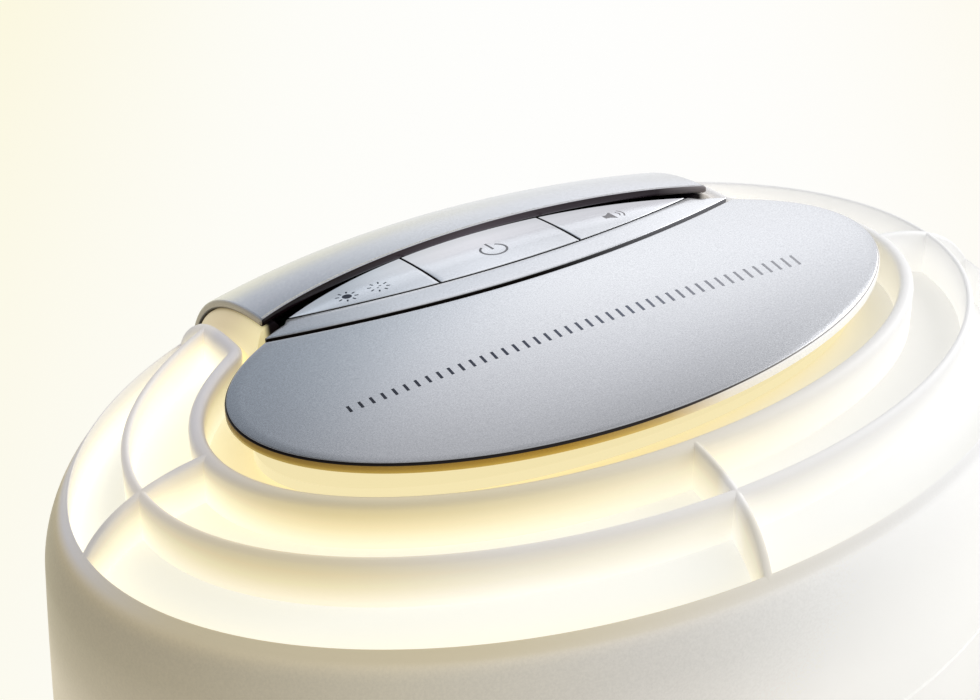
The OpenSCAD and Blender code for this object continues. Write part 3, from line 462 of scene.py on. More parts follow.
def floor_painted_glow(n):
    """Painted light as emission: the diffuser is bright between the rings and dims to a painted gold shadow
    under the plate.
    """
    d = n.remap(n.oval(PLATE_W, PLATE_D), 0.9, 1.5)
    left = n.ramp(d, {
        0: (0.5, 0.38, 0.12), 0.1: (0.56, 0.46, 0.2), 0.25: (0.54, 0.47, 0.24), 0.4: (0.51, 0.48, 0.33),
        0.6: (0.5, 0.48, 0.38), 1: (0.55, 0.545, 0.48)})
    right = n.ramp(d, {
        0: (0.32, 0.26, 0.12), 0.14: (0.28, 0.25, 0.17), 0.3: (0.29, 0.28, 0.25), 1: (0.35, 0.35, 0.34)})
    return n.mix(to_right(n), left, right)


def shade_color_painted_shade(n):
    """Frosted plastic with sparkle; painted shade makes it warmer and darker on the side away from the
    daylight.
    """
    sparkle = n.ramp(n.noise(2200.0, 3.0, 0.7), {0.35: 0.93, 0.65: 1})
    painted_light_tone = n.ramp(n.remap(along(n), -90 * MM, 90 * MM), {
        0: (0.6, 0.53, 0.38), 0.14: (0.66, 0.59, 0.44), 0.3: (0.8, 0.74, 0.6), 0.5: (0.86, 0.835, 0.79),
        0.68: (0.9, 0.9, 0.895), 0.84: 0.9, 1: 0.78})
    return n.mix(1.0, painted_light_tone, sparkle, "MULTIPLY")


def shade_painted_glow(n):
    """Painted light as emission: the lamp's light through the shade, strongest at half height away from the
    daylight, and painted daylight on the bright side that fades out on the far right.
    """
    z = n.xyz()[2]
    lit = n.ramp(n.remap(z, 0.0, BODY_H * MM), {
        0: (0.1, 0.07, 0.03), 0.25: (0.24, 0.18, 0.1), 0.55: (0.34, 0.28, 0.18), 0.72: (0.24, 0.2, 0.14),
        0.81: (0.23, 0.2, 0.16), 0.85: (0.09, 0.075, 0.055), 0.885: (0.02, 0.014, 0.006),
        1: (0.012, 0.008, 0.002)})
    bright = n.ramp(n.remap(z, 0.0, BODY_H * MM), {
        0: (0.02, 0.015, 0.01), 0.55: (0.09, 0.08, 0.06), 0.8: (0.2, 0.195, 0.18), 1: 0.205})
    far = n.fade(along(n), 64 * MM, 88 * MM)
    return n.mix(n.fade(along(n), 0.0, 60 * MM), lit, n.mix(far, bright, BLACK))


def off_rim(n, start, end):
    """0 on the rim's lip and inside it, 1 outside it."""
    return n.fade(n.oval(RIM_W, RIM_D), 1 + start / RIM_W, 1 + end / RIM_W)


def cap_color_painted_light(n):
    """As the rings inside the rim, as the shade outside it, both with their painted light and shade."""
    return n.mix(off_rim(n, 0.8, 2.4), wall_color_painted_light(n), shade_color_painted_shade(n))


def cap_painted_glow(n):
    """Painted light as emission: the casing's look outside, the rings' look inside, and a painted warm line
    just outside the rim's edge on the left.
    """
    line = n.mix(to_right(n), (0.13, 0.1, 0.05), BLACK)
    edge = n.mix(off_rim(n, 1.0, 3.4), line, BLACK)
    return n.mix(off_rim(n, 0.8, 2.4), wall_painted_glow(n), n.mix(1.0, shade_painted_glow(n), edge, "ADD"))


def tray_painted_glow(n):
    """Painted light as emission: the tray under the plate is painted with the lamp's light at its front, darker
    gold at the top in the plate's painted shadow and pale below.
    """
    down = n.ramp(n.remap(n.xyz()[2], (BODY_H - 4.5) * MM, (BODY_H - 10.5) * MM), {
        0: (0.36, 0.25, 0.05), 0.25: (0.62, 0.49, 0.15), 0.45: (0.8, 0.66, 0.29), 0.7: (0.83, 0.7, 0.36),
        1: (0.87, 0.76, 0.44)})
    glow = n.mix(n.fade(n.oval(TRAY_W, TRAY_D), 0.8, 0.9), BLACK, down)
    return n.mix(n.remap(n.xyz()[1], 6 * MM, 14 * MM), glow, BLACK)


def saddle_clear_of_painted_shade(n):
    """0 on the part of a saddle that is painted dark as the shade under the hood."""
    x, y, _ = n.xyz()
    out = n.fade(n.math("ABSOLUTE", x), 42.4 * MM, 43.8 * MM)
    return n.math("MAXIMUM", out, n.fade(y, 21.5 * MM, 19.5 * MM))


def saddle_painted_color(n):
    # Painted light and shade: warm on the left saddle, pale on the right one, and painted near-black shade
    # under the hood.
    pale = n.mix(n.remap(n.xyz()[0], 0.0, 5 * MM), (0.78, 0.69, 0.5), (0.85, 0.83, 0.8))
    return n.mix(saddle_clear_of_painted_shade(n), (0.01, 0.006, 0.009), pale)


def saddle_painted_glow(n):
    """Painted light as emission: the diffuser's light on the saddles, gold on the left and pale on the right,
    none in the painted shade under the hood.
    """
    x, y, z = n.xyz()
    high = n.ramp(n.remap(z, (BODY_H - 30) * MM, BODY_H * MM), {
        0: (0.12, 0.09, 0.05), 0.5: (0.2, 0.155, 0.085), 1: (0.3, 0.24, 0.12)})
    near = n.fade(y, 34 * MM, 19 * MM)
    left = n.mix(near, high, (0.5, 0.44, 0.22))
    return n.mix(saddle_clear_of_painted_shade(n), BLACK, n.mix(n.remap(x, 0.0, 5 * MM), left, (0.22, 0.2, 0.18)))


def button_painted_reflection(n):
    """Painted reflection as emission: the buttons mirror the pale room, and painted shade darkens them towards
    the hood's lip.
    """
    x, y, _ = n.xyz()
    painted_light_tone = n.ramp(across(n, 40), {
        0: (0.35, 0.385, 0.44), 0.15: (0.375, 0.42, 0.476), 0.25: (0.56, 0.605, 0.66),
        0.38: (0.69, 0.705, 0.74), 0.5: (0.74, 0.75, 0.79), 0.68: (0.66, 0.67, 0.71), 0.9: (0.62, 0.62, 0.66)})
    reach = n.remap(n.length(x, n.minus(y, (LIP_Y - LIP_R - MID_Y) * MM)), (LIP_R - 9.0) * MM, LIP_R * MM)
    front = n.ramp(across(n, 40), {0.08: 0, 0.2: 0.2, 0.45: 0.2, 0.65: 0})
    under_lip_painted_shade = n.mix(n.ramp(reach, {0.06: 0, 0.355: 0.3, 0.63: 0.86, 0.9: 1}), front, (0.93, 0.93, 0.93))
    top = n.fade(n.facing()[2], 0.7, 0.95)
    return n.mix(n.times(under_lip_painted_shade, top), BLACK, painted_light_tone)


m_shade = glow_plastic("shade_plastic", shade_color_painted_shade, 0.42, shade_painted_glow, grain=0.5, fine_scale=1700.0)
m_cap = glow_plastic("cap_plastic", cap_color_painted_light, 0.42, cap_painted_glow, grain=0.4, fine_scale=1700.0)
m_grille = glow_plastic("grille_plastic", wall_color_painted_light, 0.4, wall_painted_glow, grain=0.12)
m_diffuser = glow_plastic("diffuser_plastic", lambda n: broad(n, (0.64, 0.64, 0.63)), 0.5, floor_painted_glow, 0.1)
m_saddle = glow_plastic("saddle_plastic", saddle_painted_color, 0.45, saddle_painted_glow, grain=0.1)
m_plate = silver("plate_silver", (0.86, 0.88, 0.92), 0.22, plate_edge_painted_reflection, plate_painted_glow)
m_silver = silver("silver_lacquer", (0.84, 0.86, 0.9), 0.24, gap_painted_shade, gap_painted_light)
m_button = silver("button_silver", (0.84, 0.86, 0.9), 0.24, gap_painted_shade, button_painted_reflection)
m_hood = silver("hood_silver", (0.84, 0.86, 0.91), 0.25, hood_edge_painted_shade)
m_bright = plain("bright_lacquer", (0.7, 0.71, 0.74), 0.3, metallic=0.85, scale=3600.0, bump=0.06)
m_deck = glow_plastic("deck_plastic", lambda n: broad(n, (0.02, 0.015, 0.012)), 0.5, tray_painted_glow, grain=0.1)
m_black = plain("black_plastic", (0.012, 0.008, 0.01), 0.5)
m_grey = plain("grey_plastic", (0.62, 0.62, 0.6), 0.5)
m_steel = plain("zinc_steel", (0.62, 0.62, 0.64), 0.32, metallic=1.0, scale=2400.0, bump=0.06)
m_dark_steel = plain("dark_steel", (0.06, 0.06, 0.065), 0.4, metallic=0.8)
m_alu = plain("bright_aluminium", (0.8, 0.8, 0.82), 0.22, metallic=1.0, scale=1800.0, bump=0.05)
m_brass = plain("cap_brass", (0.72, 0.55, 0.25), 0.3, metallic=1.0, bump=0.08)
m_ceramic = plain("socket_ceramic", (0.85, 0.82, 0.74), 0.2, bump=0.05)
m_board = plain("board_dark_green", (0.006, 0.035, 0.018), 0.4)
m_core = plain("core_lacquer", (0.5, 0.36, 0.08), 0.4, metallic=0.3)
m_sleeve = plain("capacitor_sleeve", (0.02, 0.03, 0.14), 0.3)
m_wire = plain("wire_sleeve", (0.7, 0.7, 0.66), 0.55)
m_cone = plain("paper_cone", (0.03, 0.03, 0.03), 0.8, bump=0.5, scale=500.0)
m_rubber = plain("foot_rubber", (0.025, 0.025, 0.025), 0.75, bump=0.3)
m_window = plain("window_tint", (0.012, 0.014, 0.017), 0.07, bump=0.0, spread=0.02, Coat_Weight=0.5)


# Print whose colour goes lighter to the right: the ink carries painted daylight from the bright side.
def ink(name, stops):
    n = Nodes(name)
    n.principled(Base_Color=n.ramp(across(n, 45), stops), Roughness=0.45,
                 Normal=n.bump(n.noise(3000.0), 0.05, 0.00003))
    return n.data


m_ink = ink("dark_ink", {
    0: (0.012, 0.016, 0.03), 0.35: (0.03, 0.04, 0.075), 0.6: (0.14, 0.16, 0.22), 0.8: (0.34, 0.35, 0.4),
    1: (0.42, 0.43, 0.47)})
m_soft_ink = ink("soft_ink", {
    0: (0.03, 0.045, 0.06), 0.3: (0.07, 0.085, 0.11), 0.5: (0.2, 0.205, 0.23), 1: (0.42, 0.4, 0.42)})


def emitting(name, color, strength):
    n = Nodes(name)
    n.principled(Base_Color=color, Roughness=0.4, Emission_Strength=strength,
                 Emission_Color=mottled(n, n.noise(60.0), color, 0.92))
    return n.data


m_digit = emitting("digit_amber", (1.0, 0.42, 0.08), 2.2)
m_lamp = emitting("lamp_glow", (1.0, 0.82, 0.52), 2.0)

DRESS = (
    (m_deck, "deck_carrier"), (m_alu, "heat_shield reflector"), (m_lamp, "lamp_glass"), (m_brass, "lamp_cap"),
    (m_steel, "plate_screws rocker_pin deck_screws shield_screws spine_screws base_screws"),
    (m_board, "switch_board power_board main_board"), (m_ceramic, "lamp_socket"), (m_wire, "lamp_leads"),
    (m_black, "tact_switches power_jack lcd_module setting_switches"), (m_core, "transformer"),
    (m_sleeve, "capacitors"), (m_grey, "chassis base_cover"), (m_window, "display_window"),
    (m_bright, "display_frame menu_button minus_button plus_button alarm_button"),
    (m_dark_steel, "speaker_frame"), (m_cone, "speaker_cone"), (m_rubber, "rubber_feet"))
for material, names in DRESS:
    for key in names.split():
        mesh = nodes[key].data
        mesh.materials.clear()
        mesh.materials.append(material)


# ---- drum, cap and rings
def cut(obj, cutters):
    for c in cutters:
        mod = obj.modifiers.new("cut", "BOOLEAN")
        mod.object = c
        mod.operation = "DIFFERENCE"
        mod.solver = "EXACT"
    deps = bpy.context.evaluated_depsgraph_get()
    done = bpy.data.meshes.new_from_object(obj.evaluated_get(deps))
    old = obj.data
    obj.modifiers.clear()
    obj.data = done
    bpy.data.meshes.remove(old)


def block(low, high):
    v = [(x, y, z) for x in (low[0], high[0]) for y in (low[1], high[1]) for z in (low[2], high[2])]
    f = [(0, 1, 3, 2), (4, 6, 7, 5), (0, 4, 5, 1), (2, 3, 7, 6), (0, 2, 6, 4), (1, 5, 7, 3)]
    return fix_normals(make("cutter", v, f, m_grey, body=None))


def pill(x, z, w, h, y0, y1):
    """A bar with round ends that runs through the shade from y0 to y1."""
    half = (w - h) / 2
    ring = [(x + side * half + h / 2 * cos(a), z + h / 2 * sin(a))
            for side, base in ((1, -pi / 2), (-1, pi / 2)) for a in base + pi * np.arange(21) / 20]
    v = [(px, y, pz) for y in (y0, y1) for px, pz in ring]
    k = len(ring)
    f = [(i, (i + 1) % k, k + (i + 1) % k, k + i) for i in range(k)]
    f += [tuple(range(k)), tuple(range(k, 2 * k))[::-1]]
    return fix_normals(make("cutter", v, f, m_grey, body=None))


N_TURN = 360
turn = np.linspace(0, 2 * pi, N_TURN, endpoint=False)
c, s = np.cos(turn), np.sin(turn)


def soft(k):
    """k from 0 to 1, with soft ends."""
    return k * k * (3 - 2 * k)


def fullness(z):
    """The shoulder is a little fuller than the part's skin; that fades towards the drum's belly."""
    return FULL * min(1.0, max(0.0, (z - SWELL_Z) / (SHOULDER_Z - SWELL_Z)))


def side_loop(z, grow):
    out = swell(z) + fullness(z) + grow
    return np.stack([(DRUM_W + out) * c, (DRUM_D + out) * s, np.full(N_TURN, z)], 1)


def dome(base, step, grow):
    """Half width, half depth and height of a skin, step 0 to 1 down from its top to its shoulder."""
    w, d, top, drop, power = base
    share = (1 - (1 - step) ** 2) ** (1 / power)
    lean = np.sqrt(1 - (1 - step) ** 2)
    return w * share + grow * lean, d * share + grow * lean, top - drop * step + grow * (1 - step)


def dome_loop(step, grow):
    """step may be an array over the turn."""
    half_w, half_d, z = dome(SKIN, np.broadcast_to(step, turn.shape), grow)
    return np.stack([half_w * c, half_d * s, z], 1)


def belly_y(base, x, z, grow):
    """How far a skin reaches to the back, and as far to the front, at width x below its shoulder."""
    half_w, half_d = base[0] + swell(z) + grow, base[1] + swell(z) + grow
    return half_d * sqrt(1 - (x / half_w) ** 2)


def lathe(name, levels, material):
    faces = grid_faces(N_TURN, len(levels), True, True)
    return fix_normals(make(name, np.stack(levels, 1), faces, material))


rear_gap = block((-END_X, 0, -10), (END_X, 200, BODY_H + 70))

# The drum, with rounded lower edge, cut for the window and the set buttons
levels = [side_loop(z, 0) for z in np.linspace(SEAM_Z - 0.4, SHADE_Z + 0.8, 46)]
levels += [side_loop(SHADE_Z + 0.25, -0.2), side_loop(SHADE_Z, -0.8)]
levels += [side_loop(z, -SHADE_WALL) for z in [SHADE_Z, *np.linspace(SHADE_Z + 4, SEAM_Z, 12)]]
levels += [side_loop(SEAM_Z, -0.5)]
shade = lathe("shade", levels, m_shade)
room = FRAME_W + 0.3
window_cut = block((-WINDOW_W - room, CUT_Y0, WINDOW_Z - room),
                   (WINDOW_W + room, CUT_Y1, WINDOW_Z + WINDOW_H + room))
pills = [pill((i - 1.5) * SET_PITCH, SET_Z, SET_W + 0.6, SET_H + 0.6, CUT_Y0, CUT_Y1) for i in range(4)]
cut(shade, [rear_gap, window_cut] + pills)
dress(shade, 30, "drum_shade")


def rim_step(out):
    """The dome_loop step of the oval that lies out mm outside the rim."""
    rho = 1 / np.sqrt((DRUM_W * c / (RIM_W + out)) ** 2 + (DRUM_D * s / (RIM_D + out)) ** 2)
    return 1 - np.sqrt(1 - rho ** SKIN_POWER)


def rear_lift(y):
    """The rim stands a little higher towards the back."""
    k = np.clip((y - 12) / 30, 0, 1)
    return 0.8 * soft(k)


def rim_loop(out, below):
    x, y = (RIM_W + out) * c, (RIM_D + out) * s
    return np.stack([x, y, skin_z(x, y) + rear_lift(y) - below], 1)


# The cap from the seam up its inside to the rim, over the rim's lip and down the shoulder to the seam
LIP, RIM_ROOM = 0.6, 0.9
levels = [side_loop(z, -SHADE_WALL) for z in np.linspace(SEAM_Z, SHOULDER_Z, 6)]
levels += [dome_loop(t, -SHADE_WALL) for t in (0.9, 0.8)]
levels += [rim_loop(RIM_ROOM, FLOOR_DROP + 0.4)]
levels += [rim_loop(0, d) for d in np.linspace(FLOOR_DROP + 0.4, 0.75, 8)]
levels += [rim_loop(LIP - LIP * cos(a), LIP - LIP * sin(a)) for a in np.linspace(0, pi / 2, 6)]
first = rim_step(RIM_ROOM)
for t in np.linspace(0, 1, 30):
    level = dome_loop(first + (1 - first) * t, FULL * t ** 0.55 if t > 0 else 0.0)
    level[:, 2] += rear_lift(level[:, 1]) * (1 - t) - FULL * t ** 0.55 * (1 - first - (1 - first) * t)
    levels.append(level)
levels += [side_loop(z, 0) for z in np.linspace(SHOULDER_Z - 1, SEAM_Z + 0.4, 10)]
levels += [side_loop(SEAM_Z + 0.05, -0.4)]
cap = lathe("cap", levels, m_cap)
cut(cap, [rear_gap])
dress(cap, 40, "top_grille")


def lengths(line):
    """The way from the line's start to each of its points."""
    return np.concatenate([[0], np.cumsum(np.linalg.norm(np.diff(line, axis=0), axis=1))])


def points_at(line, seg, at):
    return np.stack([np.interp(at, seg, line[:, 0]), np.interp(at, seg, line[:, 1])], 1)


def even(line, gap):
    seg = lengths(line)
    return points_at(line, seg, np.linspace(0, seg[-1], int(seg[-1] / gap) + 1))


def wall_along(name, path, t, r, soften=0.0):
    """A wall with a rounded top along a path seen from above, under the skin."""
    path = np.array(path, float)
    if soften:
        line = even(path, 0.1)
        half = int(soften / 0.2)
        for _ in range(2):
            padded = np.vstack([line[0] + (line[0] - line[1]) * np.arange(half, 0, -1)[:, None], line,
                                line[-1] + (line[-1] - line[-2]) * np.arange(1, half + 1)[:, None]])
            kernel = np.ones(2 * half + 1) / (2 * half + 1)
            line = np.stack([np.convolve(padded[:, k], kernel, "valid") for k in (0, 1)], 1)
        path = line
    path = even(path, 0.4)
    ahead = np.gradient(path, axis=0)
    ahead /= np.linalg.norm(ahead, axis=1)[:, None]
    sec = round_section(t, r)
    off = sec[:, 0] - t / 2
    px = path[:, 0][:, None] - ahead[:, 1][:, None] * off
    py = path[:, 1][:, None] + ahead[:, 0][:, None] * off
    near_rim = np.clip((np.hypot(px / RIM_W, py / RIM_D) - 0.93) / 0.07, 0, 1)
    pz = skin_z(px, py) + rear_lift(py) * near_rim - sec[:, 1]
    dress(sweep(name, np.stack([px, py, pz], 2), m_grille), 40, "top_grille")


def oval_arc(half_w, half_d, x_end):
    """The oval from its rear right at x_end round the front to its rear left."""
    end = acos(x_end / half_w)
    phi = np.linspace(-pi - end, end, 400)
    return np.stack([half_w * np.cos(phi), half_d * np.sin(phi)], 1)


wall_x = END_X + END_WALL_T / 2
reach_y = RIM_D * sqrt(1 - (wall_x / RIM_W) ** 2) + 0.5
ring_path = np.vstack([[(-wall_x, reach_y)], oval_arc(RING_W + RING_T / 2, RING_D + RING_T / 2, wall_x),
                       [(wall_x, reach_y)]])
wall_along("ring_inner", ring_path, 2.5, 1.1, soften=2.6)
wall_along("ring_mid", oval_arc(MID_W + MID_T / 2, MID_D + MID_T / 2, wall_x + 0.3), MID_T, 0.68)
for name, path in (("left", [(-RIM_W - 0.6, 0), (-RING_W - 1.2, 0)]),
                   ("right", [(RING_W + 1.2, 0), (RIM_W + 0.6, 0)]),
                   ("front", [(0, -RIM_D - 0.5), (0, -RING_D - 1.2)])):
    wall_along("spoke_" + name, path, SPOKE_T, 0.7)


# ---- diffuser and its saddles
def floor_loop(share, below=0.0):
    x, y = (RIM_W + 0.25) * share * c, (RIM_D + 0.25) * share * s
    return np.stack([x, y, skin_z(x, y) - FLOOR_DROP - below], 1)


levels = [floor_loop(k) for k in np.concatenate([np.linspace(0.4, 0.8, 9), np.linspace(0.82, 1.0, 24)])]
low_loop = side_loop(DIFF_SIDE_Z, -DIFF_GAP)
for k in np.linspace(0, 1, 9)[1:]:
    blend = soft(k)
    loop = floor_loop(1.0, 0.6) * (1 - k) + low_loop * k
    loop[:, :2] = floor_loop(1.0)[:, :2] * (1 - blend) + low_loop[:, :2] * blend
    levels.append(loop)
levels += [side_loop(z, -DIFF_GAP) for z in np.linspace(DIFF_SIDE_Z - 5, DIFF_FOOT_Z, 22)]
points = np.stack(levels, 1)
faces = []
for f in grid_faces(N_TURN, len(levels), True):
    m = points.reshape(-1, 3)[list(f)].mean(0)
    if not (abs(m[0]) < SADDLE_X - 2.6 and m[1] > DIFF_REAR_Y):
        faces.append(f)
diffuser = fix_normals(make("diffuser", points, faces, m_diffuser))
solid = diffuser.modifiers.new("wall", "SOLIDIFY")
solid.thickness = DIFF_T * MM
solid.offset = -1
dress(diffuser, 40, "inner_diffuser")


def band_profile(x, grow, base):
    """Points of a skin's section at width x, from the top front over the shoulder and down the back."""
    out = []
    for t in np.concatenate([np.linspace(0.0, 0.12, 40), np.linspace(0.13, 1, 50)]):
        half_w, half_d, z = dome(base, t, grow)
        if half_w > abs(x) + 0.01:
            out.append((half_d * sqrt(1 - (x / half_w) ** 2), z))
    shoulder = base[2] - base[3]
    return np.array(out + [(belly_y(base, x, z, grow), z) for z in np.linspace(shoulder - 2, 8, 60)])


def resample(line, n, start, stop_z=0.0):
    """n points of the line from y = start on, half of them on its first 0.3, where the curve is tight."""
    y = line[:, 0]
    keep = np.argmax(y >= start)
    if keep > 0:
        k = (start - y[keep - 1]) / max(1e-9, y[keep] - y[keep - 1])
        line = np.vstack([line[keep - 1] * (1 - k) + line[keep] * k, line[keep:]])
    line = line[line[:, 1] >= stop_z]
    seg, u = lengths(line), np.linspace(0, 1, n)
    return points_at(line, seg, seg[-1] * (0.45 * u + 0.55 * u ** 3))


def lip(x):
    return LIP_Y - LIP_R + sqrt(LIP_R ** 2 - x ** 2) - 1.1 * (abs(x) / HOOD_HALF) ** 6


def saddle(name, side, n=90, foot=13.2):
    """A rib on the diffuser that curves from under the hood's end to the grille's end wall."""
    xs = np.concatenate([[SADDLE_X, SADDLE_X + 0.15, SADDLE_X + 0.6], np.linspace(41.8, 47.2, 18), [47.2]])
    drop = np.concatenate([[7.0, 0.8, 0.15], np.zeros(18), [7.0]])
    rows = []
    for x, d in zip(xs, drop):
        k = soft(min(1.0, max(0.0, (x - HOOD_HALF + 0.6) / 3.2)))
        high = band_profile(min(x, HOOD_HALF), -HOOD_T - 0.15 - d, HOOD)
        high = resample(high, n, lip(HOOD_HALF) + 0.5, foot)
        low = resample(band_profile(x, -1.0 - d, SKIN), n, SADDLE_Y + 1.5, foot)
        rows.append(high * (1 - k) + low * k)
    p = np.stack([np.column_stack([np.full(n, side * x), r]) for x, r in zip(xs, rows)], 1)
    dress(sweep(name, p, m_saddle), 50, "inner_diffuser")


saddle("saddle_left", -1)
saddle("saddle_right", 1)


# ---- hood and rear cover
hood_x = np.linspace(-HOOD_HALF, HOOD_HALF, 89)
nu, n_long = len(hood_x), 200
points = np.zeros((2, nu, n_long, 3))
for k, grow in enumerate((0, -HOOD_T)):
    for i, x in enumerate(hood_x):
        points[k, i, :, 0] = x
        points[k, i, :, 1:] = resample(band_profile(x, grow, HOOD), n_long, lip(x))
faces = grid_faces(nu, n_long) + [f[::-1] for f in grid_faces(nu, n_long, start=nu * n_long)]
edges = [(i * n_long + j, (i + 1) * n_long + j) for i in range(nu - 1) for j in (0, n_long - 1)]
edges += [(i * n_long + j, i * n_long + j + 1) for j in range(n_long - 1) for i in (0, nu - 1)]
faces += [(a, b, nu * n_long + b, nu * n_long + a) for a, b in edges]
hood = fix_normals(make("hood", points, faces, m_hood))
bevel = hood.modifiers.new("edge", "BEVEL")
bevel.width = 0.55 * MM
bevel.segments = 6
bevel.limit_method = "ANGLE"
bevel.angle_limit = radians(50)
bevel.use_clamp_overlap = False
dress(hood, 60, "rear_spine")


# ---- plate, strip and buttons
def offset(outline, d):
    """The closed outline moved inwards by d (counter-clockwise outline)."""
    prev, nxt = np.roll(outline, 1, 0), np.roll(outline, -1, 0)
    t1, t2 = outline - prev, nxt - outline
    t1 /= np.linalg.norm(t1, axis=1)[:, None]
    t2 /= np.linalg.norm(t2, axis=1)[:, None]
    n1, n2 = np.stack([-t1[:, 1], t1[:, 0]], 1), np.stack([-t2[:, 1], t2[:, 0]], 1)
    out = n1 + n2
    out /= np.maximum(np.linalg.norm(out, axis=1), 1e-6)[:, None]
    k = 1 / np.maximum((out * n1).sum(1), 0.35)
    return outline + out * (d * k)[:, None]


def tile(name, outline, centre, t, r, material, body, node, loops=14):
    """A crowned plate with rounded upper edge from its closed outline."""
    rings = [(offset(outline, 0.4), t), (outline, t - 0.3), (outline, t * 0.55)]
    for a in np.linspace(0, pi / 2, 6):
        rings.append((offset(outline, r * (1 - cos(a))) if a > 0 else outline, r * (1 - sin(a))))
    last = rings[-1][0]
    centre = np.array(centre, float)
    rings += [(centre + (last - centre) * f, 0.0) for f in np.linspace(1, 0, loops + 1)[1:-1]]
    verts = [np.column_stack([ring, crown_z(ring[:, 0], ring[:, 1]) - below]) for ring, below in rings]
    verts += [[(*centre, crown_z(*centre) - below)] for below in (0, t)]
    n, k = len(outline), len(rings)
    faces = [(j * n + i, j * n + (i + 1) % n, (j + 1) * n + (i + 1) % n, (j + 1) * n + i)
             for j in range(k - 1) for i in range(n)]
    for i in range(n):
        faces += [((k - 1) * n + i, (k - 1) * n + (i + 1) % n, k * n), ((i + 1) % n, i, k * n + 1)]
    dress(fix_normals(make(name, np.concatenate(verts), faces, material, body)), 60, node)


ARC_Y = REAR_Y + REAR_R
FRONT_R = REAR_R - STRIP_W
LENS_FRONT = REAR_Y + STRIP_W
LENS_CORNER = ARC_Y - sqrt(FRONT_R ** 2 - LENS_W ** 2)
rise = LENS_FRONT + LENS_D - LENS_CORNER
BACK_R = (LENS_W ** 2 + rise ** 2) / (2 * rise)
BACK_Y = LENS_FRONT + LENS_D - BACK_R


def front_arc(x, r=FRONT_R):
    return ARC_Y - np.sqrt(r ** 2 - np.asarray(x, float) ** 2)


def back_arc(x):
    return BACK_Y + np.sqrt(BACK_R ** 2 - np.asarray(x, float) ** 2)


# Plate outline: the oval in front, the concave arc behind
lo, hi = 0.0, pi / 2
for _ in range(60):
    mid = (lo + hi) / 2
    x, y = PLATE_W * cos(mid), PLATE_D * sin(mid)
    if y < front_arc(min(x, REAR_R - 1), REAR_R):
        lo = mid
    else:
        hi = mid
corner = lo
phi = np.linspace(pi - corner, 2 * pi + corner, 420)
front = np.stack([PLATE_W * np.cos(phi), PLATE_D * np.sin(phi)], 1)
xs = np.linspace(front[-1, 0], front[0, 0], 150)[1:-1]
outline = np.concatenate([front, np.stack([xs, front_arc(xs, REAR_R)], 1)])
tile("snooze_top", outline, (0, -8.6), PLATE_T, 0.55, m_plate, "snooze", "snooze_plate", 30)


def lens_piece(x0, x1):
    """The outline of the lens-shaped field between x0 and x1."""
    xs = np.linspace(x0, x1, 90)
    low = np.stack([xs, front_arc(xs)], 1)
    high = np.stack([xs[::-1], back_arc(xs[::-1])], 1)
    pts = [low[0]]
    for p in list(low[1:]) + list(high):
        if np.linalg.norm(p - pts[-1]) > 0.05:
            pts.append(p)
    if np.linalg.norm(pts[0] - pts[-1]) < 0.05:
        pts.pop()
    # Fill straight ends with points so that the rounding stays even.
    full = []
    for a, b in zip(pts, pts[1:] + pts[:1]):
        m = max(1, int(np.linalg.norm(b - a) / 0.8))
        full += [a + (b - a) * k / m for k in range(m)]
    return np.array(full)


half, LENS_END = BUTTON_GAP / 2, LENS_W - 0.02
for name, x0, x1, centre in (("light", -LENS_END, -CUT_X - half, (-22.5, 24.5)),
                             ("power", -CUT_X + half, CUT_X - half, (0, 25)),
                             ("sound", CUT_X + half, LENS_END, (22.5, 24.5))):
    tile(name + "_top", lens_piece(x0, x1), centre, FACE_T, 0.22, m_button, name,
         name + "_button")

# Silver strip between plate and buttons, between two arcs; its ends follow the plate's oval
STRIP_R, STRIP_END, CORNER_X = REAR_R - STRIP_GAP, 45.2, LENS_W + 0.35
END_OVAL_W, END_OVAL_D = 60.8, 29.4
pts = []
for x in np.linspace(-STRIP_END, STRIP_END, 241):
    y0 = float(front_arc(x, STRIP_R))
    y1 = float(front_arc(min(abs(x), CORNER_X), FRONT_R + BUTTON_GAP))
    if abs(x) > CORNER_X:
        k = min(1.0, (abs(x) - CORNER_X) / 1.1)
        y1 = y1 * (1 - k) + END_OVAL_D * sqrt(1 - (x / END_OVAL_W) ** 2) * k
    y1 = max(y1, y0 + 0.4)
    w = y1 - y0
    line = [(y0, FACE_T), (y0, 0.9), (y0, 0.25), (y0 + 0.07, 0.07), (y0 + 0.25, 0.0)]
    line += [(y0 + 0.25 + (w - 0.5) * k, 0.0) for k in (0.2, 0.4, 0.6, 0.8)]
    line += [(y1 - 0.25, 0.0), (y1 - 0.07, 0.07), (y1, 0.25), (y1, 0.9), (y1, FACE_T)]
    if w < 0.6:
        line = [(min(max(y, y0), y1), b) for y, b in line]
    pts.append([(x, y, float(crown_z(x, y)) - b) for y, b in line])
dress(sweep("button_strip", np.array(pts), m_silver), 60, "button_bezel")


# ---- springs under the plate
SPRING_X, SPRING_Y, SPRING_FOOT = 40.0, -2.0, BODY_H - 10.3
SPRING_R, SPRING_WIRE, SPRING_TURNS = 3.5, 0.4, 4
SPRING_TOP = crown_z(SPRING_X + SPRING_R + SPRING_WIRE, SPRING_Y) - PLATE_T - 0.05


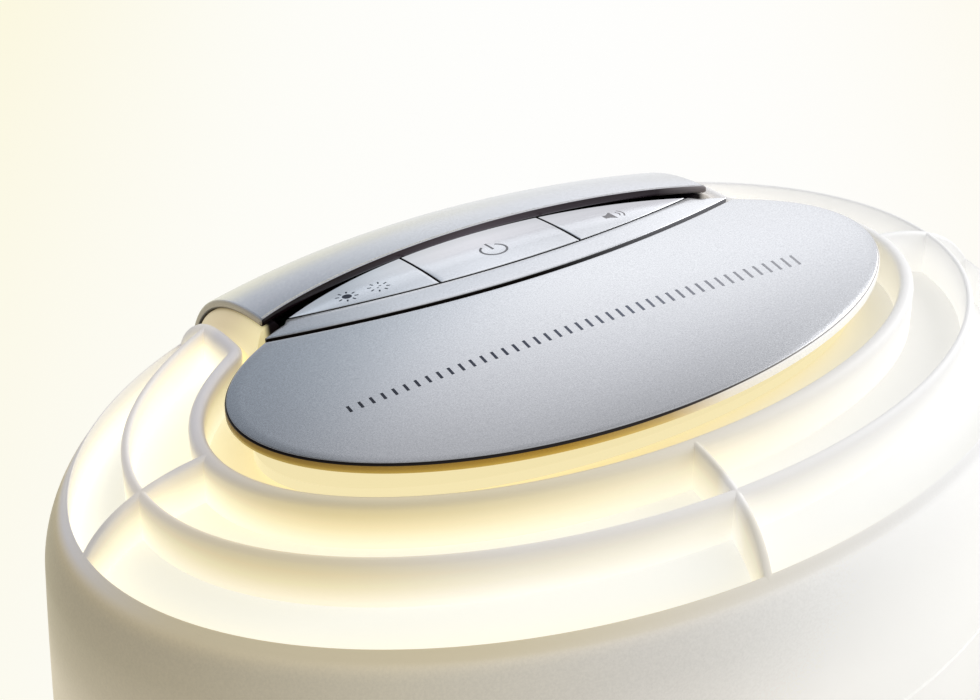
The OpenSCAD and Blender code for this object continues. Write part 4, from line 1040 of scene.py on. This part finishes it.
def spring(name, x, steps=120, sides=10):
    """A coil that stands on the tray and reaches up to the plate's underside."""
    along_coil = np.arange(steps + 1)[:, None] / steps
    at, face = 2 * pi * SPRING_TURNS * along_coil, 2 * pi * np.arange(sides) / sides
    reach = SPRING_R + SPRING_WIRE * np.cos(face)
    rise = (SPRING_TOP - SPRING_FOOT - 2 * SPRING_WIRE) * along_coil
    path = np.stack([x + reach * np.cos(at), SPRING_Y + reach * np.sin(at),
                     SPRING_FOOT + SPRING_WIRE + rise + SPRING_WIRE * np.sin(face)], 2)
    obj = sweep(name, path, m_steel)
    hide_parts("snooze_springs")
    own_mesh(obj)


spring("spring_left", -SPRING_X)
spring("spring_right", SPRING_X)


# ---- printed marks, 0.02 mm proud of the lacquer
def flat(name, polygons, place, material, body):
    """Flat shapes; place(a, b) puts a drawn point on its surface."""
    verts, faces = [], []
    for poly in polygons:
        faces.append(tuple(range(len(verts), len(verts) + len(poly))))
        verts += [place(a, b) for a, b in poly]
    make(name, verts, faces, material, body)


def on_top(x, y):
    return x, y, float(crown_z(x, y)) + 0.02


def ellipse(cx, cy, rx, ry, n=28):
    return [(cx + rx * cos(a), cy + ry * sin(a)) for a in np.linspace(0, 2 * pi, n, endpoint=False)]


def bar(x0, y0, x1, y1, w):
    dx, dy = x1 - x0, y1 - y0
    k = w / 2 / hypot(dx, dy)
    ox, oy = -dy * k, dx * k
    return [(x0 + ox, y0 + oy), (x0 - ox, y0 - oy), (x1 - ox, y1 - oy), (x1 + ox, y1 + oy)]


def stroke(points, w):
    return [bar(*points[i], *points[i + 1], w) for i in range(len(points) - 1)]


SUN_IN, SUN_OUT = 1.25, 1.95
MARK_Y, POWER_R, HORN_X = 24.0, 2.3, 24.3


def sun(cx, cy, filled):
    if filled:
        shapes = [ellipse(cx, cy, 0.85, 0.85)]
    else:
        shapes = [bar(cx - 0.5, cy - 0.25, cx - 0.1, cy - 0.25, 0.22),
                  bar(cx + 0.1, cy + 0.25, cx + 0.6, cy + 0.25, 0.22)]
    for a in pi / 8 + np.arange(8) * pi / 4:
        shapes.append(bar(cx + SUN_IN * cos(a), cy + SUN_IN * sin(a),
                          cx + SUN_OUT * cos(a), cy + SUN_OUT * sin(a), 0.3))
    return shapes


flat("mark_bright", sun(-28.2, 23.9, True), on_top, m_ink, "light")
flat("mark_dim", sun(-22.4, 23.6, False), on_top, m_soft_ink, "light")
ring = [(POWER_R * sin(a), MARK_Y + POWER_R * cos(a)) for a in np.linspace(radians(34), radians(326), 30)]
flat("mark_power", stroke(ring, 0.42) + [bar(0, 24.1, 0, 27.0, 0.42)], on_top, m_soft_ink, "power")
horn = [[(22.4, 23.3), (23.2, 23.3), (HORN_X, 22.4), (HORN_X, 25.6), (23.2, 24.7), (22.4, 24.7)]]
for r in (1.2, 2.0):
    horn += stroke([(HORN_X + r * cos(a), MARK_Y + r * sin(a)) for a in np.linspace(-0.75, 0.75, 9)], 0.3)
flat("mark_sound", horn, on_top, m_soft_ink, "sound")

# A plain row of ticks that grow to the right, where the plate is printed
TICKS, TICK_X, TICK_Y, TICKS_W = 44, -43.4, -6.9, 85.0
ticks = []
for i in range(TICKS):
    x = TICK_X + TICKS_W * i / (TICKS - 1)
    ticks.append(bar(x, TICK_Y, x, TICK_Y + (1.5 + 1.4 * i / (TICKS - 1)), 0.5))
flat("scale_left", ticks[:16], on_top, m_ink, "snooze")
flat("scale_right", ticks[16:], on_top, m_ink, "snooze")


# ---- digits on the display
SEGMENTS = {"0": "abcdef", "7": "abc"}
DIGIT_Z, DIGIT_W, DIGIT_H, DIGIT_T, DIGIT_GAP = 40, 8.0, 14.5, 1.7, 0.35


def digit(char, cx):
    x0, x1, z0, z1 = cx - DIGIT_W / 2, cx + DIGIT_W / 2, DIGIT_Z - DIGIT_H / 2, DIGIT_Z + DIGIT_H / 2
    zm, g = DIGIT_Z, DIGIT_GAP
    lines = {"a": (x0 + g, z1, x1 - g, z1), "b": (x1, zm + g, x1, z1 - g), "c": (x1, z0 + g, x1, zm - g),
             "d": (x0 + g, z0, x1 - g, z0), "e": (x0, z0 + g, x0, zm - g), "f": (x0, zm + g, x0, z1 - g)}
    return [bar(*lines[k], DIGIT_T) for k in SEGMENTS[char]]


shapes = digit("7", -11.5) + digit("0", 4.0) + digit("0", 16.0)
shapes += [ellipse(-3.8, DIGIT_Z + dz, 0.9, 0.9, 12) for dz in (3, -3)]
flat("display_digits", shapes, lambda x, z: (x, -belly_y(SKIN, x, z, 0) - 0.06, z), m_digit, "clock")

# Marks on the set buttons: bars, minus, plus and a bell
marks = {"menu": [bar(-1.6, k, 1.6, k, 0.35) for k in (-1.1, 0.0, 1.1)],
         "minus": [bar(-1.5, 0, 1.5, 0, 0.5)],
         "plus": [bar(-1.5, 0, 1.5, 0, 0.5), bar(0, -1.5, 0, 1.5, 0.5)],
         "alarm": [ellipse(0, 0.3, 1.1, 1.1, 20), bar(-1.6, -0.9, 1.6, -0.9, 0.4),
                   ellipse(0, -1.35, 0.4, 0.3, 10)]}
for i, (key, polys) in enumerate(marks.items()):
    cx = (i - 1.5) * SET_PITCH
    flat("mark_" + key, polys, lambda x, z: (cx + x, -belly_y(SKIN, cx + x, SET_Z, 1) - 0.03, SET_Z + z),
         m_ink, key)

for cutter in (rear_gap, window_cut, *pills):
    bpy.data.objects.remove(cutter)


# ---- floor, studio, lamp and camera
n = Nodes("floor_white")
paths = n.add("LightPath").outputs
floor_x, floor_y, _ = n.xyz()
sideways = n.minus(n.times(floor_x, 0.86), n.times(floor_y, 0.51))
lit = n.add("BsdfDiffuse", {"Color": n.ramp(n.noise(1.0, 0.0), {
    0.3: (0.86, 0.86, 0.85), 0.7: (0.88, 0.88, 0.87)})})
pale = n.add("Emission", {"Strength": 1.035, "Color": n.ramp(n.remap(sideways, -0.26, 0.26), {
    0: (0.98, 0.93, 0.68), 0.15: (0.985, 0.96, 0.82), 0.3: (1, 0.995, 0.95), 0.5: (1, 1, 0.99),
    0.7: (1, 0.995, 0.975), 0.85: (0.99, 0.97, 0.9), 1: (0.97, 0.93, 0.8)}, "B_SPLINE")})
mirrored = n.times(paths["Is Glossy Ray"], n.remap(n.length(floor_x, floor_y), 0.35, 1.6, 1.0, 0.62))
share = n.math("ADD", n.times(paths["Is Camera Ray"], 0.86), mirrored, True)
n.surface(n.add("MixShader", {0: share, 1: lit.outputs[0], 2: pale.outputs[0]}))
FLOOR_HALF = 6000
corners = [(i * FLOOR_HALF, j * FLOOR_HALF, 0) for i, j in ((-1, -1), (1, -1), (1, 1), (-1, 1))]
floor = make("floor", corners, [(0, 1, 2, 3)], n.data, body=None)


# Studio walls: bright behind and to the right, dim to the left, falling off towards the ceiling.
w = Nodes("studio", "World")
bpy.context.scene.world = w.data
where = w.add("SeparateXYZ", {0: w.add("TexCoord").outputs["Generated"]}).outputs
around = w.remap(w.math("ARCTAN2", where[0], where[1]), -pi, pi)
level = w.remap(where[2], -1.0, 1.0)


def at_angle(degrees):
    """The place on a ramp of an angle from the back towards the right."""
    return (degrees + 180) / 360


def round_ramp(stops):
    """A ramp round the clock, with its stops in degrees."""
    return w.ramp(around, {at_angle(degrees): color for degrees, color in stops.items()})


walls_light = round_ramp({
    -178: (0.95, 0.93, 0.86), -140: (0.45, 0.43, 0.38), -80: (0.16, 0.15, 0.14), -10: (0.14, 0.165, 0.2),
    17: (0.2, 0.24, 0.29), 21: (0.33, 0.38, 0.435), 25: (0.64, 0.68, 0.74), 28: (0.98, 1, 1.04),
    31: (1.13, 1.13, 1.15), 36: (1.13, 1.13, 1.15), 45: (1.09, 1.09, 1.11), 60: (0.64, 0.64, 0.66), 85: 1.2,
    110: 1.6, 145: (1.6, 1.58, 1.5), 178: (0.95, 0.93, 0.86)})
# Away from the middle of the bright wall its dark upper part comes down a little.
BRIGHT_AT = 47
off_bright = w.remap(w.math("ABSOLUTE", w.minus(around, at_angle(BRIGHT_AT))), 3 / 360, 16 / 360, 0.0, 0.02)
height = w.ramp(w.total(level, off_bright), {
    0: 0.9, 0.5: 0.83, 0.6: 0.85, 0.67: 0.89, 0.74: 0.97, 0.77: 0.94, 0.81: 0.86, 0.843: (0.76, 0.76, 0.77),
    0.868: (0.67, 0.67, 0.68), 0.9: (0.56, 0.56, 0.57), 0.93: (0.37, 0.37, 0.38), 1: (0.28, 0.28, 0.29)})
low_walls = round_ramp({
    -178: (0.9, 0.9, 0.88), -90: (0.5, 0.5, 0.48), 8: (0.52, 0.55, 0.6), 15: (0.55, 0.58, 0.64),
    19: (0.63, 0.66, 0.71), 22: (0.81, 0.84, 0.88), 25: (0.98, 0.99, 1.01), 28: (0.92, 0.93, 0.95),
    31: (0.8, 0.81, 0.83), 45: (0.78, 0.79, 0.81), 90: 1, 178: (0.9, 0.9, 0.88)})
low = w.ramp(level, {0: 1, 0.5: 1, 0.55: 0.94, 0.6: 0.8, 0.66: 0.4, 0.72: 0})
mirrored = w.mix(1.0, w.mix(1.0, walls_light, height, "MULTIPLY"),
                 w.mix(1.0, low_walls, low, "MULTIPLY"), "LIGHTEN")
around_low = round_ramp({
    -178: (0.8, 0.79, 0.75), -140: (0.3, 0.28, 0.25), -80: (0.08, 0.075, 0.07), -10: (0.18, 0.18, 0.19),
    40: (0.8, 0.8, 0.81), 90: 1.4, 145: (1.5, 1.5, 1.48), 178: (0.8, 0.79, 0.75)})
overhead = w.ramp(level, {0: 0.64, 1: 0.66})
soft_light = w.mix(w.remap(level, 0.575, 0.875), around_low, overhead)
paths = w.add("LightPath").outputs
studio = w.add("Background", {"Color": w.mix(paths["Is Glossy Ray"], soft_light, mirrored)})
seen = w.add("Background", {"Color": (0.985, 0.985, 0.965)})
w.surface(w.add("MixShader", {0: paths["Is Camera Ray"], 1: studio.outputs[0], 2: seen.outputs[0]}))

data = bpy.data.lights.new("right_soft", "AREA")
data.size, data.energy, data.color = 0.9, 7.0, (1, 0.99, 0.98)
lamp = bpy.data.objects.new("right_soft", data)
bpy.context.collection.objects.link(lamp)
lamp.location = (1.3, 0.1, 0.9)
lamp.rotation_euler = (Vector((0, 0, 0.17)) - lamp.location).to_track_quat("-Z", "Y").to_euler()

# The camera, fitted to the photo: its place and the three directions of its frame
CAMERA = Vector((-0.1659, -0.2548 - MID_Y * MM, (BODY_H + 189.9) * MM))
RIGHT = Vector((0.8603, -0.5097, 0.0))
UP = Vector((0.2797, 0.4722, 0.8359))
BACK = Vector((-0.4261, -0.7192, 0.5488))
lens = bpy.data.cameras.new("camera")
lens.sensor_width, lens.lens, lens.shift_y = 36, 81.27, 4 / 980
lens.clip_start, lens.clip_end = 0.01, 50
camera = bpy.data.objects.new("camera", lens)
bpy.context.collection.objects.link(camera)
camera.matrix_world = Matrix(((*RIGHT, 0), (*UP, 0), (*BACK, 0), (*CAMERA, 1))).transposed()
bpy.context.scene.camera = camera
bpy.context.scene.view_settings.view_transform = "Standard"
